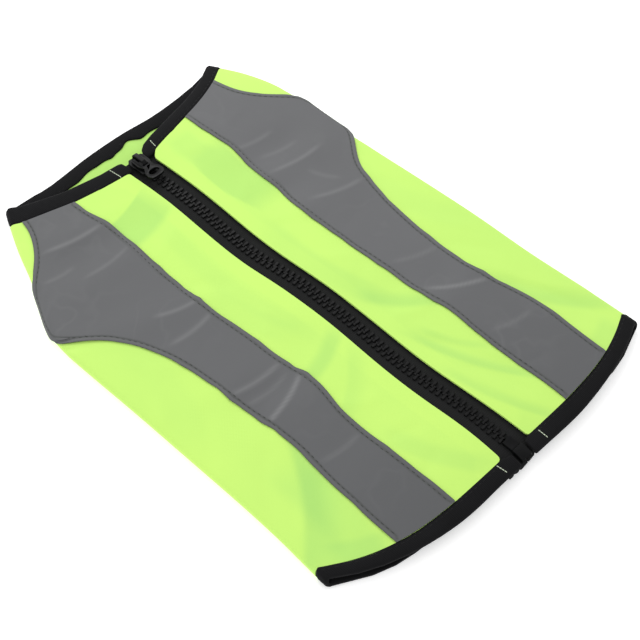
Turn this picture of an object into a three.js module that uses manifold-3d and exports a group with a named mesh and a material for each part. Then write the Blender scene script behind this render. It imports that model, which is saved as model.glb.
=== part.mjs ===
// A reflective vest for a small dog, lying flat with its zip uppermost.
//
// Frame: millimetres, +Z up. The garment lies on z = 0, its zip runs along Y and the
// neck is at +Y. The cloth is built in the garment's own plan, with the zip near x = 0,
// and the whole vest is then moved so that its origin is the bottom centre of its box.
//
// The vest is a flattened tube. The belly panel lies on the surface. Each back panel
// starts at the zip, arches outwards, turns round a side fold and tucks under to a side
// seam, where the belly panel begins. Reflective strips, bindings and the zip follow.

import * as THREE from 'three';
import { mergeVertices } from 'three/addons/utils/BufferGeometryUtils.js';
import Module from 'manifold-3d';

// ---------------------------------------------------------------- driving sizes

const SEAM_GAP = 0.3;          // clearance between pieces that are sewn together
const CLOTH = 1.2;             // wall of the polyester panels
const STRIP = 1.0;             // wall of the reflective fabric
const MITRE_LEAST = 0.75;      // limits how far a layer's points stand out where the panel turns
const BINDING = { hem: 6.1, belly: 7.2, wall: 1.8, proud: 0.3, corner: 0.5, cornerShare: 0.13 };

const FOLD_RADIUS = 2.6;       // outside radius where the cloth turns at the sides
const FOLD_START = 80;         // degrees above level where the turn begins
const TUCK = 14;               // how far the back panels reach under, to the side seam
const CREST = 11;              // height of the vest along the zip
const CROWN_POWER = 1.8;       // how quickly the back rises from the side folds
const HEM_DROP = { fall: 5, length: 16 };   // the back sinks towards the hem

const SWAY = { deep: 0.8, length: 97, from: -25, shift: -0.35 };   // how the back's middle line bends
const TAPE = { inner: 3.25, outer: 11.5, drop: 2.0, wall: 1.0, hemEnd: -130.8, neckEnd: 105.6 };
const CHAIN = { inner: 0.15, outer: 2.9, centre: -2.3, half: 1.3, hemEnd: -118.6, neckEnd: 96.2 };

const HEM = { y: -130.2, power: 3.6 };        // outer line of the hem's binding
const BELLY_SHORT = { by: 2.5, from: 0.8, over: 0.4 };   // the belly panel is shorter in the middle

const LEG = { x: 46, y: 43, halfWide: 18, halfLong: 25, tape: 6 };   // open size of each leg hole

// Grid rows of the back panels from hem to neck: how many end at each share of the length.
// They are closest at the shoulders, where the patches turn round the side folds.
const ROW_BANDS = [
  { share: 0.6, rows: 14 },
  { share: 0.9, rows: 14 },
  { share: 1, rows: 4 },
];
const ROWS = ROW_BANDS.reduce((sum, band) => sum + band.rows, 0);
const COLUMNS = { front: 3, strip: 7, outer: 8 };
const STRIP_HEM = { columns: 2, width: 5 };   // narrow columns along a strip's outer edge
const BESIDE_FOLD = 3;         // columns between a strip and the side fold
const FOLD_BLEND = 16;         // how far from the fold the columns start to bend round it

// Side folds: how far the vest reaches to each side of the zip, from hem to neck.
const SIDES = [
  { y: -132, left: 94.0, right: 91.2 },
  { y: -105, left: 94.0, right: 91.0 },
  { y: -85, left: 92.6, right: 90.6 },
  { y: -60, left: 92.0, right: 89.7 },
  { y: -30, left: 92.0, right: 90.0 },
  { y: 0, left: 92.0, right: 89.2 },
  { y: 30, left: 92.4, right: 88.0 },
  { y: 50, left: 92.2, right: 87.6 },
  { y: 60, left: 89.6, right: 87.8 },
  { y: 75, left: 82.6, right: 87.9 },
  { y: 90, left: 76.2, right: 87.0 },
  { y: 100, left: 72.5, right: 85.9 },
  { y: 110, left: 68.3, right: 83.1 },
  { y: 120, left: 63.4, right: 79.2 },
  { y: 133, left: 56.6, right: 71.8 },
];

// Neckline of the back: where each panel's cloth ends, by its share of the way out.
const NECKLINE = [
  { share: -0.1, left: 99.4, right: 100.4 },
  { share: 0, left: 99.4, right: 101.2 },
  { share: 0.08, left: 99.7, right: 103.4 },
  { share: 0.2, left: 101.0, right: 105.6 },
  { share: 0.35, left: 103.1, right: 108.5 },
  { share: 0.5, left: 105.3, right: 111.4 },
  { share: 0.65, left: 108.6, right: 115.1 },
  { share: 0.8, left: 111.9, right: 119.5 },
  { share: 0.9, left: 114.2, right: 122.9 },
  { share: 1, left: 117.4, right: 126.2 },
];

// Edges of the back panels along the zip, as distances from the zip's line.
const ZIP_EDGES = [
  { y: -124, left: 6.4, right: 10.1 },
  { y: -110, left: 6.3, right: 9.2 },
  { y: -100, left: 6.1, right: 8.9 },
  { y: -90, left: 6.5, right: 8.6 },
  { y: -75, left: 6.8, right: 8.1 },
  { y: -50, left: 7.0, right: 7.7 },
  { y: -30, left: 6.7, right: 7.6 },
  { y: -10, left: 6.5, right: 7.9 },
  { y: 0, left: 6.4, right: 7.8 },
  { y: 10, left: 6.8, right: 7.6 },
  { y: 22, left: 7.5, right: 7.5 },
  { y: 35, left: 7.8, right: 7.5 },
  { y: 55, left: 7.9, right: 7.6 },
  { y: 75, left: 7.6, right: 7.6 },
  { y: 105, left: 7.6, right: 7.5 },
];

// The zip's own line: it wanders a little between the panels.
const ZIP_LINE = [
  { y: -131, x: 3.1 },
  { y: -126, x: 3.1 },
  { y: -120, x: 2.6 },
  { y: -112, x: 2.1 },
  { y: -98, x: 2.05 },
  { y: -90, x: 1.55 },
  { y: -82, x: 0.9 },
  { y: -66, x: 0.2 },
  { y: -58, x: 0.15 },
  { y: -42, x: 1.2 },
  { y: -30, x: 1.75 },
  { y: -18, x: 1.7 },
  { y: -4, x: 1.9 },
  { y: 6, x: 1.05 },
  { y: 14, x: 0.15 },
  { y: 22, x: -0.55 },
  { y: 30, x: -0.8 },
  { y: 46, x: -0.1 },
  { y: 54, x: 0.5 },
  { y: 66, x: 0.95 },
  { y: 78, x: 1.0 },
  { y: 86, x: 0.7 },
  { y: 96, x: 0 },
  { y: 106, x: -0.4 },
];

// Outer edge of the binding on the belly panel's neck, across the vest.
const CHEST_NECK = [
  { x: -62, y: 127.8 },
  { x: -50, y: 128.4 },
  { x: -37, y: 126.9 },
  { x: -25, y: 127.6 },
  { x: -10, y: 128.9 },
  { x: 12, y: 129.0 },
  { x: 28, y: 127.6 },
  { x: 42, y: 127.8 },
  { x: 55, y: 129.0 },
  { x: 63, y: 131.1 },
  { x: 74, y: 132.4 },
];

// Reflective strips. Inner is the inner edge's distance from the zip's line. Inset is how
// far the outer edge stays short of the side, and below 0 it has turned round the fold.
const STRIPS = {
  left: [
    { y: -124, inner: 33.9, inset: 30.8 },
    { y: -105, inner: 34.2, inset: 30.5 },
    { y: -80, inner: 34.6, inset: 30.4 },
    { y: -62, inner: 34.1, inset: 32.3 },
    { y: -45, inner: 31.1, inset: 31.2 },
    { y: -25, inner: 33.9, inset: 29.7 },
    { y: -5, inner: 34.1, inset: 28.7 },
    { y: 8, inner: 35.1, inset: 27.0 },
    { y: 18, inner: 35.4, inset: 24.1 },
    { y: 28, inner: 35.7, inset: 19.4 },
    { y: 37, inner: 35.6, inset: 14.4 },
    { y: 43, inner: 35.8, inset: 8.8 },
    { y: 47, inner: 35.6, inset: 3.4 },
    { y: 52, inner: 35.4, inset: -0.8 },
    { y: 58, inner: 35.0, inset: -1.4 },
    { y: 78, inner: 34.1, inset: -1.4 },
    { y: 84, inner: 34.7, inset: 0.6 },
    { y: 89, inner: 35.3, inset: 3.4 },
    { y: 98, inner: 35.8, inset: 7.1 },
    { y: 108, inner: 36.4, inset: 8.3 },
    { y: 120, inner: 36.8, inset: 4.9 },
  ],
  right: [
    { y: -124, inner: 35.1, inset: 24.0 },
    { y: -105, inner: 34.7, inset: 24.0 },
    { y: -88, inner: 34.1, inset: 22.5 },
    { y: -75, inner: 34.5, inset: 22.5 },
    { y: -58, inner: 36.0, inset: 25.9 },
    { y: -45, inner: 33.0, inset: 28.0 },
    { y: -25, inner: 33.0, inset: 28.0 },
    { y: -5, inner: 31.8, inset: 25.3 },
    { y: 10, inner: 32.1, inset: 21.7 },
    { y: 22, inner: 32.2, inset: 18.2 },
    { y: 32, inner: 32.3, inset: 13.5 },
    { y: 41, inner: 33.4, inset: 6.0 },
    { y: 46, inner: 34.0, inset: 1.9 },
    { y: 52, inner: 33.9, inset: -1.0 },
    { y: 58, inner: 34.0, inset: -1.4 },
    { y: 76, inner: 36.4, inset: -1.4 },
    { y: 84, inner: 36.5, inset: 0.6 },
    { y: 89, inner: 36.5, inset: 4.6 },
    { y: 94, inner: 36.3, inset: 9.2 },
    { y: 101, inner: 36.1, inset: 14.6 },
    { y: 110, inner: 36.0, inset: 16.6 },
    { y: 126, inner: 36.0, inset: 13.0 },
  ],
};

// Folds in the back: each is a soft ridge (rise above 0) or trough along a line.
const FOLDS = [
  { x0: -62, y0: 93, x1: -38, y1: 85, rise: 0.9, wide: 7 },
  { x0: -72, y0: 65, x1: -34, y1: 67, rise: 0.8, wide: 8 },
  { x0: -60, y0: 76, x1: -16, y1: 72, rise: -0.8, wide: 10 },
  { x0: -66, y0: 32, x1: -36, y1: 21, rise: 0.7, wide: 8 },
  { x0: -60, y0: -22, x1: -34, y1: -29, rise: 0.8, wide: 8 },
  { x0: -62, y0: -36, x1: -20, y1: -30, rise: -1.3, wide: 8 },
  { x0: -60, y0: -47, x1: -30, y1: -40, rise: 0.9, wide: 7 },
  { x0: -58, y0: -76, x1: -36, y1: -74, rise: -0.8, wide: 9 },
  { x0: -62, y0: -56, x1: -86, y1: -98, rise: -1.3, wide: 8 },
  { x0: 36, y0: 64, x1: 70, y1: 66, rise: -0.9, wide: 8 },
  { x0: 37, y0: 53, x1: 66, y1: 50, rise: 0.8, wide: 7 },
  { x0: 18, y0: 66, x1: 32, y1: 40, rise: -0.9, wide: 9 },
  { x0: 36, y0: 28, x1: 64, y1: 23, rise: 0.7, wide: 8 },
  { x0: 18, y0: -32, x1: 50, y1: -44, rise: -1.1, wide: 8 },
  { x0: 36, y0: -46, x1: 64, y1: -56, rise: 1.1, wide: 7 },
  { x0: 18, y0: -62, x1: 32, y1: -102, rise: -0.8, wide: 7 },
  { x0: 64, y0: -62, x1: 82, y1: -104, rise: -1.1, wide: 8 },
];

// The folds start this far from the sides, the zip and the hem, and reach their full
// height over this length.
const CALM = { side: { from: 3, over: 14 }, zip: { from: 9, over: 10 }, hem: { from: 7, over: 14 } };

// The slider runs along Y. Its heights are measured from the back's crest.
const SLIDER = {
  from: 93.4, to: 105.2, plate: 1.0, rearHalf: 4.1, shoulderHalf: 4.5, top: 0.7, bottom: -4.9,
  rearCorner: 0.6, shoulderFrom: 5, shoulderTo: 7, frontCorner: { across: 1.4, along: 1.6 },
  rim: { wide: 0.6, from: 1, to: 8, hangs: 0.4, stands: 0.5 },
  post: { from: 97.6, to: 104.6, half: 1.3, rearTaper: 4, frontTaper: 1, sunk: 0.3 },
  bridge: { from: 96.4, to: 104.8, wide: 2.2, inside: 2.2, wall: 1.1, rearLeg: 1.1, frontLeg: 0.9,
    rearBend: 1.4, frontBend: 1.2, sunk: 0.3 },
};
// The tab hangs from its bar. Its lengths are measured from the bar's axis towards the tip.
const TAB = {
  axis: 102.8, tip: 87.2, wall: 1.3, bar: 0.65,
  head: { half: 3.6, corner: 0.8, from: 0.4, to: 5.2 },
  waist: { half: 2.5, from: 7.6, to: 8.4 },
  end: { half: 4.5, corner: 0.3, from: 10.8, corners: [[0, 2.2], [1.0, 0.4], [2.6, 0]] },
  slot: { half: 1.45, end: 6.7 },
  hole: { centre: 12.2, halfWide: 2.9, halfLong: 1.7, steps: 16 },
};
const PIN = { from: -123.9, to: -118.9, half: 2.4, top: -0.5, bottom: -4.1 };
const BOX = { from: -130.1, to: -124.2, half: 2.9, top: 0.2, bottom: -3.9 };

// ---------------------------------------------------------------- small helpers

const mix = (a, b, t) => a + (b - a) * t;
const clamp01 = (t) => Math.min(1, Math.max(0, t));
const smooth = (t) => clamp01(t) ** 2 * (3 - 2 * clamp01(t));
const radians = (degrees) => degrees * Math.PI / 180;

// A smooth curve through the rows of a table: the column's value at a place along the key.
function along(table, key, column, at) {
  const last = table.length - 1;
  if (at <= table[0][key]) return table[0][column];
  if (at >= table[last][key]) return table[last][column];
  let i = 0;
  while (at > table[i + 1][key]) i += 1;
  const slope = (j) => {
    const a = table[Math.max(0, j - 1)];
    const b = table[Math.min(last, j + 1)];
    return (b[column] - a[column]) / (b[key] - a[key]);
  };
  const p = table[i];
  const q = table[i + 1];
  const span = q[key] - p[key];
  const t = (at - p[key]) / span;
  const t2 = t * t;
  const t3 = t2 * t;
  return (2 * t3 - 3 * t2 + 1) * p[column] + (t3 - 2 * t2 + t) * span * slope(i)
    + (3 * t2 - 2 * t3) * q[column] + (t3 - t2) * span * slope(i + 1);
}

// ---------------------------------------------------------------- the garment's form

// Rise is how far the hem climbs at the side. Neck is the width of the neck's binding on
// this side, and neckFlare and hemFlare are how much wider the bindings end at the side.
// Past is the share of the width by which each binding runs on beyond the panel's edge.
const LEFT = {
  name: 'left', sign: -1, edge: 7.0, rise: 19.4, neck: 8.0, neckFlare: 0.2, hemFlare: 0,
  past: { hem: 0.06, neck: 0.028 },
};
const RIGHT = {
  name: 'right', sign: 1, edge: 7.6, rise: 11.5, neck: 6.9, neckFlare: -0.22, hemFlare: 0.15,
  past: { hem: 0.008, neck: 0.028 },
};

const ARC = FOLD_RADIUS * radians(90 + FOLD_START);              // length of a side fold's turn
const TOP_INSET = FOLD_RADIUS * (1 - Math.cos(radians(FOLD_START)));
const FOLD_TOP = FOLD_RADIUS * (1 + Math.sin(radians(FOLD_START)));

const reach = (side, y) => along(SIDES, 'y', side.name, y);
const zipEdge = (side, y) => along(ZIP_EDGES, 'y', side.name, y);
const crestAt = (y) => CREST - HEM_DROP.fall * Math.exp(-(y - HEM.y) / HEM_DROP.length);
const sway = (y) => SWAY.shift + SWAY.deep * Math.cos(2 * Math.PI * (y - SWAY.from) / SWAY.length);
const zipLine = (y) => along(ZIP_LINE, 'y', 'x', y);

// The distance of a point from a fold's line.
function offLine(fold, x, y) {
  const dx = fold.x1 - fold.x0;
  const dy = fold.y1 - fold.y0;
  const t = clamp01(((x - fold.x0) * dx + (y - fold.y0) * dy) / (dx * dx + dy * dy));
  return Math.hypot(x - fold.x0 - dx * t, y - fold.y0 - dy * t);
}

// Height of the back's outer surface: it climbs from the side folds to the crest.
function backHeight(side, distance, y) {
  const inset = reach(side, y) - distance;
  const rise = clamp01((inset - TOP_INSET) / (reach(side, y) - TOP_INSET));
  const base = mix(FOLD_TOP, crestAt(y), 1 - (1 - rise) ** CROWN_POWER);
  const calm = smooth((inset - CALM.side.from) / CALM.side.over)
    * smooth((distance - CALM.zip.from) / CALM.zip.over) * smooth((y - HEM.y - CALM.hem.from) / CALM.hem.over);
  let folds = 0;
  for (const fold of FOLDS) {
    folds += fold.rise * Math.exp(-((offLine(fold, side.sign * distance, y) / fold.wide) ** 2));
  }
  return base + folds * calm;
}

// A point of a back panel's outer skin. Up to 0, a is a plan distance short of the side
// fold's top. Past 0 it is a length along the cloth, round the fold and then underneath.
function skin(side, a, y) {
  const edge = reach(side, y);
  let distance = edge - TOP_INSET + a;
  let z = 0;
  if (a <= 0) {
    z = backHeight(side, distance, y);
  } else if (a <= ARC) {
    const turn = radians(FOLD_START) - a / FOLD_RADIUS;
    distance = edge - FOLD_RADIUS * (1 - Math.cos(turn));
    z = FOLD_RADIUS * (1 + Math.sin(turn));
  } else {
    distance = edge - FOLD_RADIUS - (a - ARC);
  }
  const drift = a <= 0 ? sway(y) * (1 - smooth(distance / 60)) : 0;
  return new THREE.Vector3(side.sign * distance + drift, y, z);
}

// The skin's point with its outward normal, from the slopes around it.
function skinWithNormal(side, a, y) {
  const step = 0.05;
  const point = skin(side, a, y);
  if (a > ARC) return { point, normal: new THREE.Vector3(0, 0, -1) };
  const across = skin(side, a + step, y).sub(skin(side, a - step, y));
  const lengthwise = skin(side, a, y + step).sub(skin(side, a, y - step));
  const normal = across.cross(lengthwise).multiplyScalar(side.sign).normalize();
  return { point, normal };
}

// ---------------------------------------------------------------- edges of the cloth

const hemOuter = (side, share) => HEM.y + side.rise * clamp01(Math.abs(share)) ** HEM.power;
const hemCloth = (side, share) => hemOuter(side, share) + SEAM_GAP
  + BINDING.hem * (1 + side.hemFlare * clamp01(Math.abs(share)) ** 2);
const neckCloth = (side, share) => along(NECKLINE, 'share', side.name, share);
const neckOuter = (side, share) => neckCloth(side, share) + SEAM_GAP
  + side.neck * (1 + side.neckFlare * clamp01(share) ** 2);
const chestOuter = (x) => along(CHEST_NECK, 'x', 'y', x);
const chestCloth = (x) => chestOuter(x) - BINDING.belly - SEAM_GAP;

// Where a column of the back panel's grid ends at the hem and at the neck. The share is
// its part of the way from the zip to the fold's top, and under is how far it is tucked.
function columnEnds(side, a, share, line) {
  const hem = line === 'outer' ? hemOuter : hemCloth;
  const neck = line === 'outer' ? neckOuter : neckCloth;
  const chest = line === 'outer' ? chestOuter : chestCloth;
  if (a <= 0) return { hem: hem(side, share), neck: neck(side, share) };
  const under = Math.max(0, a - ARC);
  const cornerX = side.sign * (reach(side, neck(side, 1)) - FOLD_RADIUS - under);
  const turned = clamp01(a / ARC);
  const hemShare = 1 - (under + FOLD_RADIUS * turned) / reach(side, HEM.y + side.rise);
  return { hem: hem(side, hemShare), neck: mix(neck(side, 1), chest(cornerX), turned) };
}

// The strip's edges at a height along the vest, as places on the skin.
function stripEdges(side, y) {
  const table = STRIPS[side.name];
  const top = reach(side, y) - TOP_INSET;
  return { inner: along(table, 'y', 'inner', y) - top, outer: TOP_INSET - along(table, 'y', 'inset', y) };
}

// The place of each grid column across the skin at a height along the vest. Columns follow
// the strip's two edges, so the strip can be made from the panel's own points. The strip's
// last columns are narrow, so that they can turn round the fold without a shear.
function columnPlaces(side, y) {
  const { inner, outer } = stripEdges(side, y);
  const start = zipEdge(side, y) - (reach(side, y) - TOP_INSET);
  const turned = clamp01(outer / (ARC / 2));
  const hemStart = mix(outer - STRIP_HEM.width, 0, turned);
  const wide = COLUMNS.strip - STRIP_HEM.columns;
  const places = [];
  for (let i = 0; i < COLUMNS.front; i += 1) places.push(mix(start, inner, i / COLUMNS.front));
  for (let i = 0; i < wide; i += 1) places.push(mix(inner, hemStart, i / wide));
  for (let i = 0; i <= STRIP_HEM.columns; i += 1) places.push(mix(hemStart, outer, i / STRIP_HEM.columns));
  const edge = Math.min(outer, 0);
  const foldColumns = COLUMNS.outer - BESIDE_FOLD;
  const blend = smooth((outer + FOLD_BLEND) / FOLD_BLEND);
  for (let i = 1; i <= COLUMNS.outer; i += 1) {
    const onTop = i <= BESIDE_FOLD;
    const beside = onTop ? mix(edge, 0, i / BESIDE_FOLD) : ARC * (i - BESIDE_FOLD) / foldColumns;
    places.push(mix(beside, mix(outer, ARC, i / COLUMNS.outer), blend));
  }
  places.push(ARC + TUCK);
  return places;
}

const COLUMN_COUNT = COLUMNS.front + COLUMNS.strip + COLUMNS.outer + 1;

const PLACE_PASSES = 6;

// Where a grid point of a back panel lies. Its height along the vest and its place across
// depend on each other, so they are brought together in a few steps.
function gridPlace(side, column, row) {
  let y = mix(HEM.y, -HEM.y, row);
  let a = 0;
  let share = 0;
  for (let pass = 0; pass < PLACE_PASSES; pass += 1) {
    a = columnPlaces(side, y)[column];
    const top = reach(side, y) - TOP_INSET;
    share = clamp01((top + a - side.edge) / (top - side.edge));
    const ends = columnEnds(side, a, share, 'cloth');
    y = mix(ends.hem, ends.neck, row);
  }
  return { a, y, share };
}

function gridPoint(side, column, row) {
  const { a, y } = gridPlace(side, column, row);
  return skinWithNormal(side, a, y);
}

function rowAt(j) {
  let start = { share: 0, row: 0 };
  for (const band of ROW_BANDS) {
    if (j <= start.row + band.rows) return mix(start.share, band.share, (j - start.row) / band.rows);
    start = { share: band.share, row: start.row + band.rows };
  }
  return 1;
}

function panelGrid(side) {
  const grid = [];
  for (let i = 0; i <= COLUMN_COUNT; i += 1) {
    const column = [];
    for (let j = 0; j <= ROWS; j += 1) column.push(gridPoint(side, i, rowAt(j)));
    grid.push(column);
  }
  return grid;
}

// ---------------------------------------------------------------- closed solids

// A closed solid from rings of points, joined ring to ring and capped at both ends.
function ringsToGeometry(rings) {
  const n = rings[0].length;
  const positions = [];
  const index = [];
  rings.forEach((ring) => ring.forEach((p) => positions.push(p.x, p.y, p.z)));
  for (let i = 0; i < rings.length - 1; i += 1) {
    for (let j = 0; j < n; j += 1) {
      const a = i * n + j;
      const b = i * n + (j + 1) % n;
      // Both skins of a wall are split along the same diagonal, so layers stay apart.
      if (j < n / 2) index.push(a, b, b + n, a, b + n, a + n);
      else index.push(a, b, a + n, b, b + n, a + n);
    }
  }
  const cap = (base, flip) => {
    for (let j = 0; j < n / 2 - 1; j += 1) {
      const a = base + j;
      const b = base + j + 1;
      const c = base + n - 2 - j;
      const d = base + n - 1 - j;
      const faces = [[a, d, b]];
      if (b !== c) faces.push([b, d, c]);
      faces.forEach((f) => index.push(...(flip ? [f[0], f[2], f[1]] : f)));
    }
  };
  cap(0, false);
  cap((rings.length - 1) * n, true);
  const geometry = new THREE.BufferGeometry();
  geometry.setAttribute('position', new THREE.Float32BufferAttribute(positions, 3));
  geometry.setIndex(index);
  return outward(geometry);
}

// Turns the faces round if they point in.
function outward(geometry) {
  const p = geometry.attributes.position;
  const ids = geometry.index.array;
  const [a, b, c] = [new THREE.Vector3(), new THREE.Vector3(), new THREE.Vector3()];
  let volume = 0;
  for (let i = 0; i < ids.length; i += 3) {
    a.fromBufferAttribute(p, ids[i]);
    b.fromBufferAttribute(p, ids[i + 1]);
    c.fromBufferAttribute(p, ids[i + 2]);
    volume += a.dot(b.cross(c));
  }
  if (volume < 0) {
    for (let i = 0; i < ids.length; i += 3) [ids[i + 1], ids[i + 2]] = [ids[i + 2], ids[i + 1]];
  }
  geometry.computeVertexNormals();
  return geometry;
}

const lifted = (at, height) => at.point.clone().addScaledVector(at.normal, height);

// A cloth wall from a grid of skin points: its outside is lifted off the skin by some
// height, and its inside lies one wall further in. Each ring is one column of the grid.
function clothWall(grid, lift, wall) {
  return ringsToGeometry(grid.map((column) => {
    const outside = column.map((at) => lifted(at, lift));
    const inside = column.map((at) => lifted(at, lift - wall)).reverse();
    return [...outside, ...inside];
  }));
}

// The same grid, with each normal taken from the flat faces that meet at the point and
// made longer where they turn, so that a layer lifted along it clears every face.
function layerGrid(grid) {
  const at = (i, j) => grid[i][j].point;
  const facing = (p, q, r, like) => {
    const n = q.clone().sub(p).cross(r.clone().sub(p)).normalize();
    return n.dot(like) < 0 ? n.negate() : n;
  };
  return grid.map((column, i) => column.map(({ point, normal }, j) => {
    const faces = [];
    for (const [p, q] of [[i - 1, j - 1], [i - 1, j], [i, j - 1], [i, j]]) {
      if (p < 0 || q < 0 || p >= grid.length - 1 || q >= column.length - 1) continue;
      faces.push(facing(at(p, q), at(p, q + 1), at(p + 1, q + 1), normal));
      faces.push(facing(at(p, q), at(p + 1, q + 1), at(p + 1, q), normal));
    }
    const mean = faces.reduce((sum, face) => sum.add(face), new THREE.Vector3()).normalize();
    const tightest = Math.max(MITRE_LEAST, Math.min(...faces.map((face) => face.dot(mean))));
    return { point, normal: mean.divideScalar(tightest) };
  }));
}

// A binding: a band with softened outer corners, from stations along its edge. Each
// station gives the skin at the band's two edges.
function bindingBand(stations) {
  const { corner, cornerShare, wall } = BINDING;
  const profile = [[0, -corner], [cornerShare, 0], [1 - cornerShare, 0], [1, -corner], [1, -wall], [0, -wall]];
  return ringsToGeometry(stations.map(({ from, to }) => profile.map(([t, depth]) => {
    const point = from.point.clone().lerp(to.point, t);
    const normal = from.normal.clone().lerp(to.normal, t).normalize();
    const proud = BINDING.proud * (normal.z + 1) / 2;
    return point.addScaledVector(normal, proud + depth);
  })));
}

// ---------------------------------------------------------------- cloth pieces

// Stations of a binding from the zip out to the side seam, at the hem or at the neck. They
// follow the back panel's own columns, so the binding keeps its distance from the cloth.
function sideStations(side, end) {
  const away = end === 'hem' ? -1 : 1;
  const station = ({ a, share }) => {
    const onLine = (line, clear) => {
      const y = columnEnds(side, a, share, line)[end] + away * clear;
      const top = reach(side, y) - TOP_INSET;
      return skinWithNormal(side, a <= 0 ? mix(side.edge, top, share) - top : a, y);
    };
    // Where the edge turns, it runs at a slant, and the gap is doubled along Y.
    return { from: onLine('outer', 0), to: onLine('cloth', a > 0 ? 2 * SEAM_GAP : SEAM_GAP) };
  };
  const stations = [station({ a: 0, share: -side.past[end] })];
  for (let column = 0; column <= COLUMN_COUNT; column += 1) {
    stations.push(station(gridPlace(side, column, end === 'hem' ? 0 : 1)));
  }
  return stations;
}

// The belly panel's plan: side seams from the back panels' rows, then neck and hem.
const CHEST_STEPS = 16;

function seamX(side, y) {
  return side.sign * (reach(side, y) - FOLD_RADIUS - TUCK - SEAM_GAP);
}

function bellyEnds(side) {
  const grid = [0, 1].map((row) => gridPoint(side, COLUMN_COUNT, row).point.y);
  return { hem: grid[0], neck: grid[1] };
}

// The belly's hem follows the back's at the sides and is a little shorter in the middle.
function bellyHemLine(x, line) {
  const side = x < 0 ? LEFT : RIGHT;
  const share = Math.abs(x) / reach(side, HEM.y + side.rise);
  return line(side, share) + BELLY_SHORT.by * smooth((BELLY_SHORT.from - share) / BELLY_SHORT.over);
}

const bellyHem = (x) => bellyHemLine(x, hemCloth);

function bellyOutline() {
  const points = [];
  const seam = (side, upwards) => {
    const { hem, neck } = bellyEnds(side);
    for (let j = 0; j <= ROWS; j += 1) {
      const y = mix(hem, neck, rowAt(upwards ? j : ROWS - j));
      points.push(new THREE.Vector2(seamX(side, y), y));
    }
  };
  const between = (from, to, heightAt) => {
    for (let i = 1; i < CHEST_STEPS; i += 1) {
      const x = mix(from, to, i / CHEST_STEPS);
      points.push(new THREE.Vector2(x, heightAt(x)));
    }
  };
  seam(LEFT, true);
  between(seamX(LEFT, bellyEnds(LEFT).neck), seamX(RIGHT, bellyEnds(RIGHT).neck), chestCloth);
  seam(RIGHT, false);
  between(seamX(RIGHT, bellyEnds(RIGHT).hem), seamX(LEFT, bellyEnds(LEFT).hem), bellyHem);
  return points;
}

function ellipse(side, extra, steps) {
  const points = [];
  for (let i = 0; i < steps; i += 1) {
    const turn = 2 * Math.PI * i / steps;
    points.push(new THREE.Vector2(
      side.sign * LEG.x + (LEG.halfWide + extra) * Math.cos(turn),
      LEG.y + (LEG.halfLong + extra) * Math.sin(turn),
    ));
  }
  return points;
}

const LEG_STEPS = 36;

function extrudeFlat(outline, holes, depth) {
  const shape = new THREE.Shape(outline);
  holes.forEach((hole) => shape.holes.push(new THREE.Path(hole)));
  return closedMesh(new THREE.ExtrudeGeometry(shape, { depth, bevelEnabled: false }));
}

// Keeps only the shared points of a geometry, so that it is one closed body.
function closedMesh(geometry) {
  geometry.deleteAttribute('normal');
  geometry.deleteAttribute('uv');
  const merged = mergeVertices(geometry, 1e-4);
  merged.computeVertexNormals();
  return merged;
}

function bellyPanel() {
  const holes = [LEFT, RIGHT].map((side) => ellipse(side, LEG.tape + SEAM_GAP, LEG_STEPS));
  return extrudeFlat(bellyOutline(), holes, CLOTH);
}

const legBinding = (side) => extrudeFlat(
  ellipse(side, LEG.tape, LEG_STEPS), [ellipse(side, 0, LEG_STEPS)], BINDING.wall);

// A binding that runs from the zip, round one side, along the belly and back to the zip.
function loopBinding(end) {
  const down = new THREE.Vector3(0, 0, -1);
  const left = sideStations(LEFT, end);
  const right = sideStations(RIGHT, end).reverse();
  const belly = [];
  const start = left[left.length - 1].to.point.x;
  const stop = right[0].to.point.x;
  for (let i = 1; i < CHEST_STEPS; i += 1) {
    const x = mix(start, stop, i / CHEST_STEPS);
    const outerY = end === 'hem' ? bellyHemLine(x, hemOuter) : chestOuter(x);
    const clothY = end === 'hem' ? bellyHem(x) - SEAM_GAP : chestCloth(x) + SEAM_GAP;
    belly.push({
      from: { point: new THREE.Vector3(x, outerY, 0), normal: down },
      to: { point: new THREE.Vector3(x, clothY, 0), normal: down },
    });
  }
  return bindingBand([...left, ...belly, ...right]);
}

// ---------------------------------------------------------------- the zip

const zipHeight = (distance, y) => backHeight(RIGHT, Math.abs(distance), y);

// A bar that follows the zip: it spans x from inner to outer, offset from the back's height.
function zipBar(xFrom, xTo, yFrom, yTo, top, bottom, steps) {
  const rings = [];
  for (let i = 0; i <= steps; i += 1) {
    const y = mix(yFrom, yTo, i / steps);
    const x0 = xFrom + zipLine(y);
    const x1 = xTo + zipLine(y);
    const h = zipHeight(0, y);
    rings.push([
      new THREE.Vector3(x0, y, h + top), new THREE.Vector3(x1, y, h + top),
      new THREE.Vector3(x1, y, h + bottom), new THREE.Vector3(x0, y, h + bottom),
    ]);
  }
  return ringsToGeometry(rings);
}

const TAPE_STEPS = 44;

function zipTape(side) {
  const dip = zipHeight(0, 0) - zipHeight(TAPE.outer, 0);
  const rings = [];
  for (let i = 0; i <= TAPE_STEPS; i += 1) {
    const y = mix(TAPE.hemEnd, TAPE.neckEnd, i / TAPE_STEPS);
    const h = zipHeight(0, y) - TAPE.drop;
    const x0 = zipLine(y) + side.sign * TAPE.inner;
    const x1 = zipLine(y) + side.sign * TAPE.outer;
    rings.push([
      new THREE.Vector3(x0, y, h), new THREE.Vector3(x1, y, h - dip),
      new THREE.Vector3(x1, y, h - dip - TAPE.wall), new THREE.Vector3(x0, y, h - TAPE.wall),
    ]);
  }
  return ringsToGeometry(rings);
}

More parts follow.
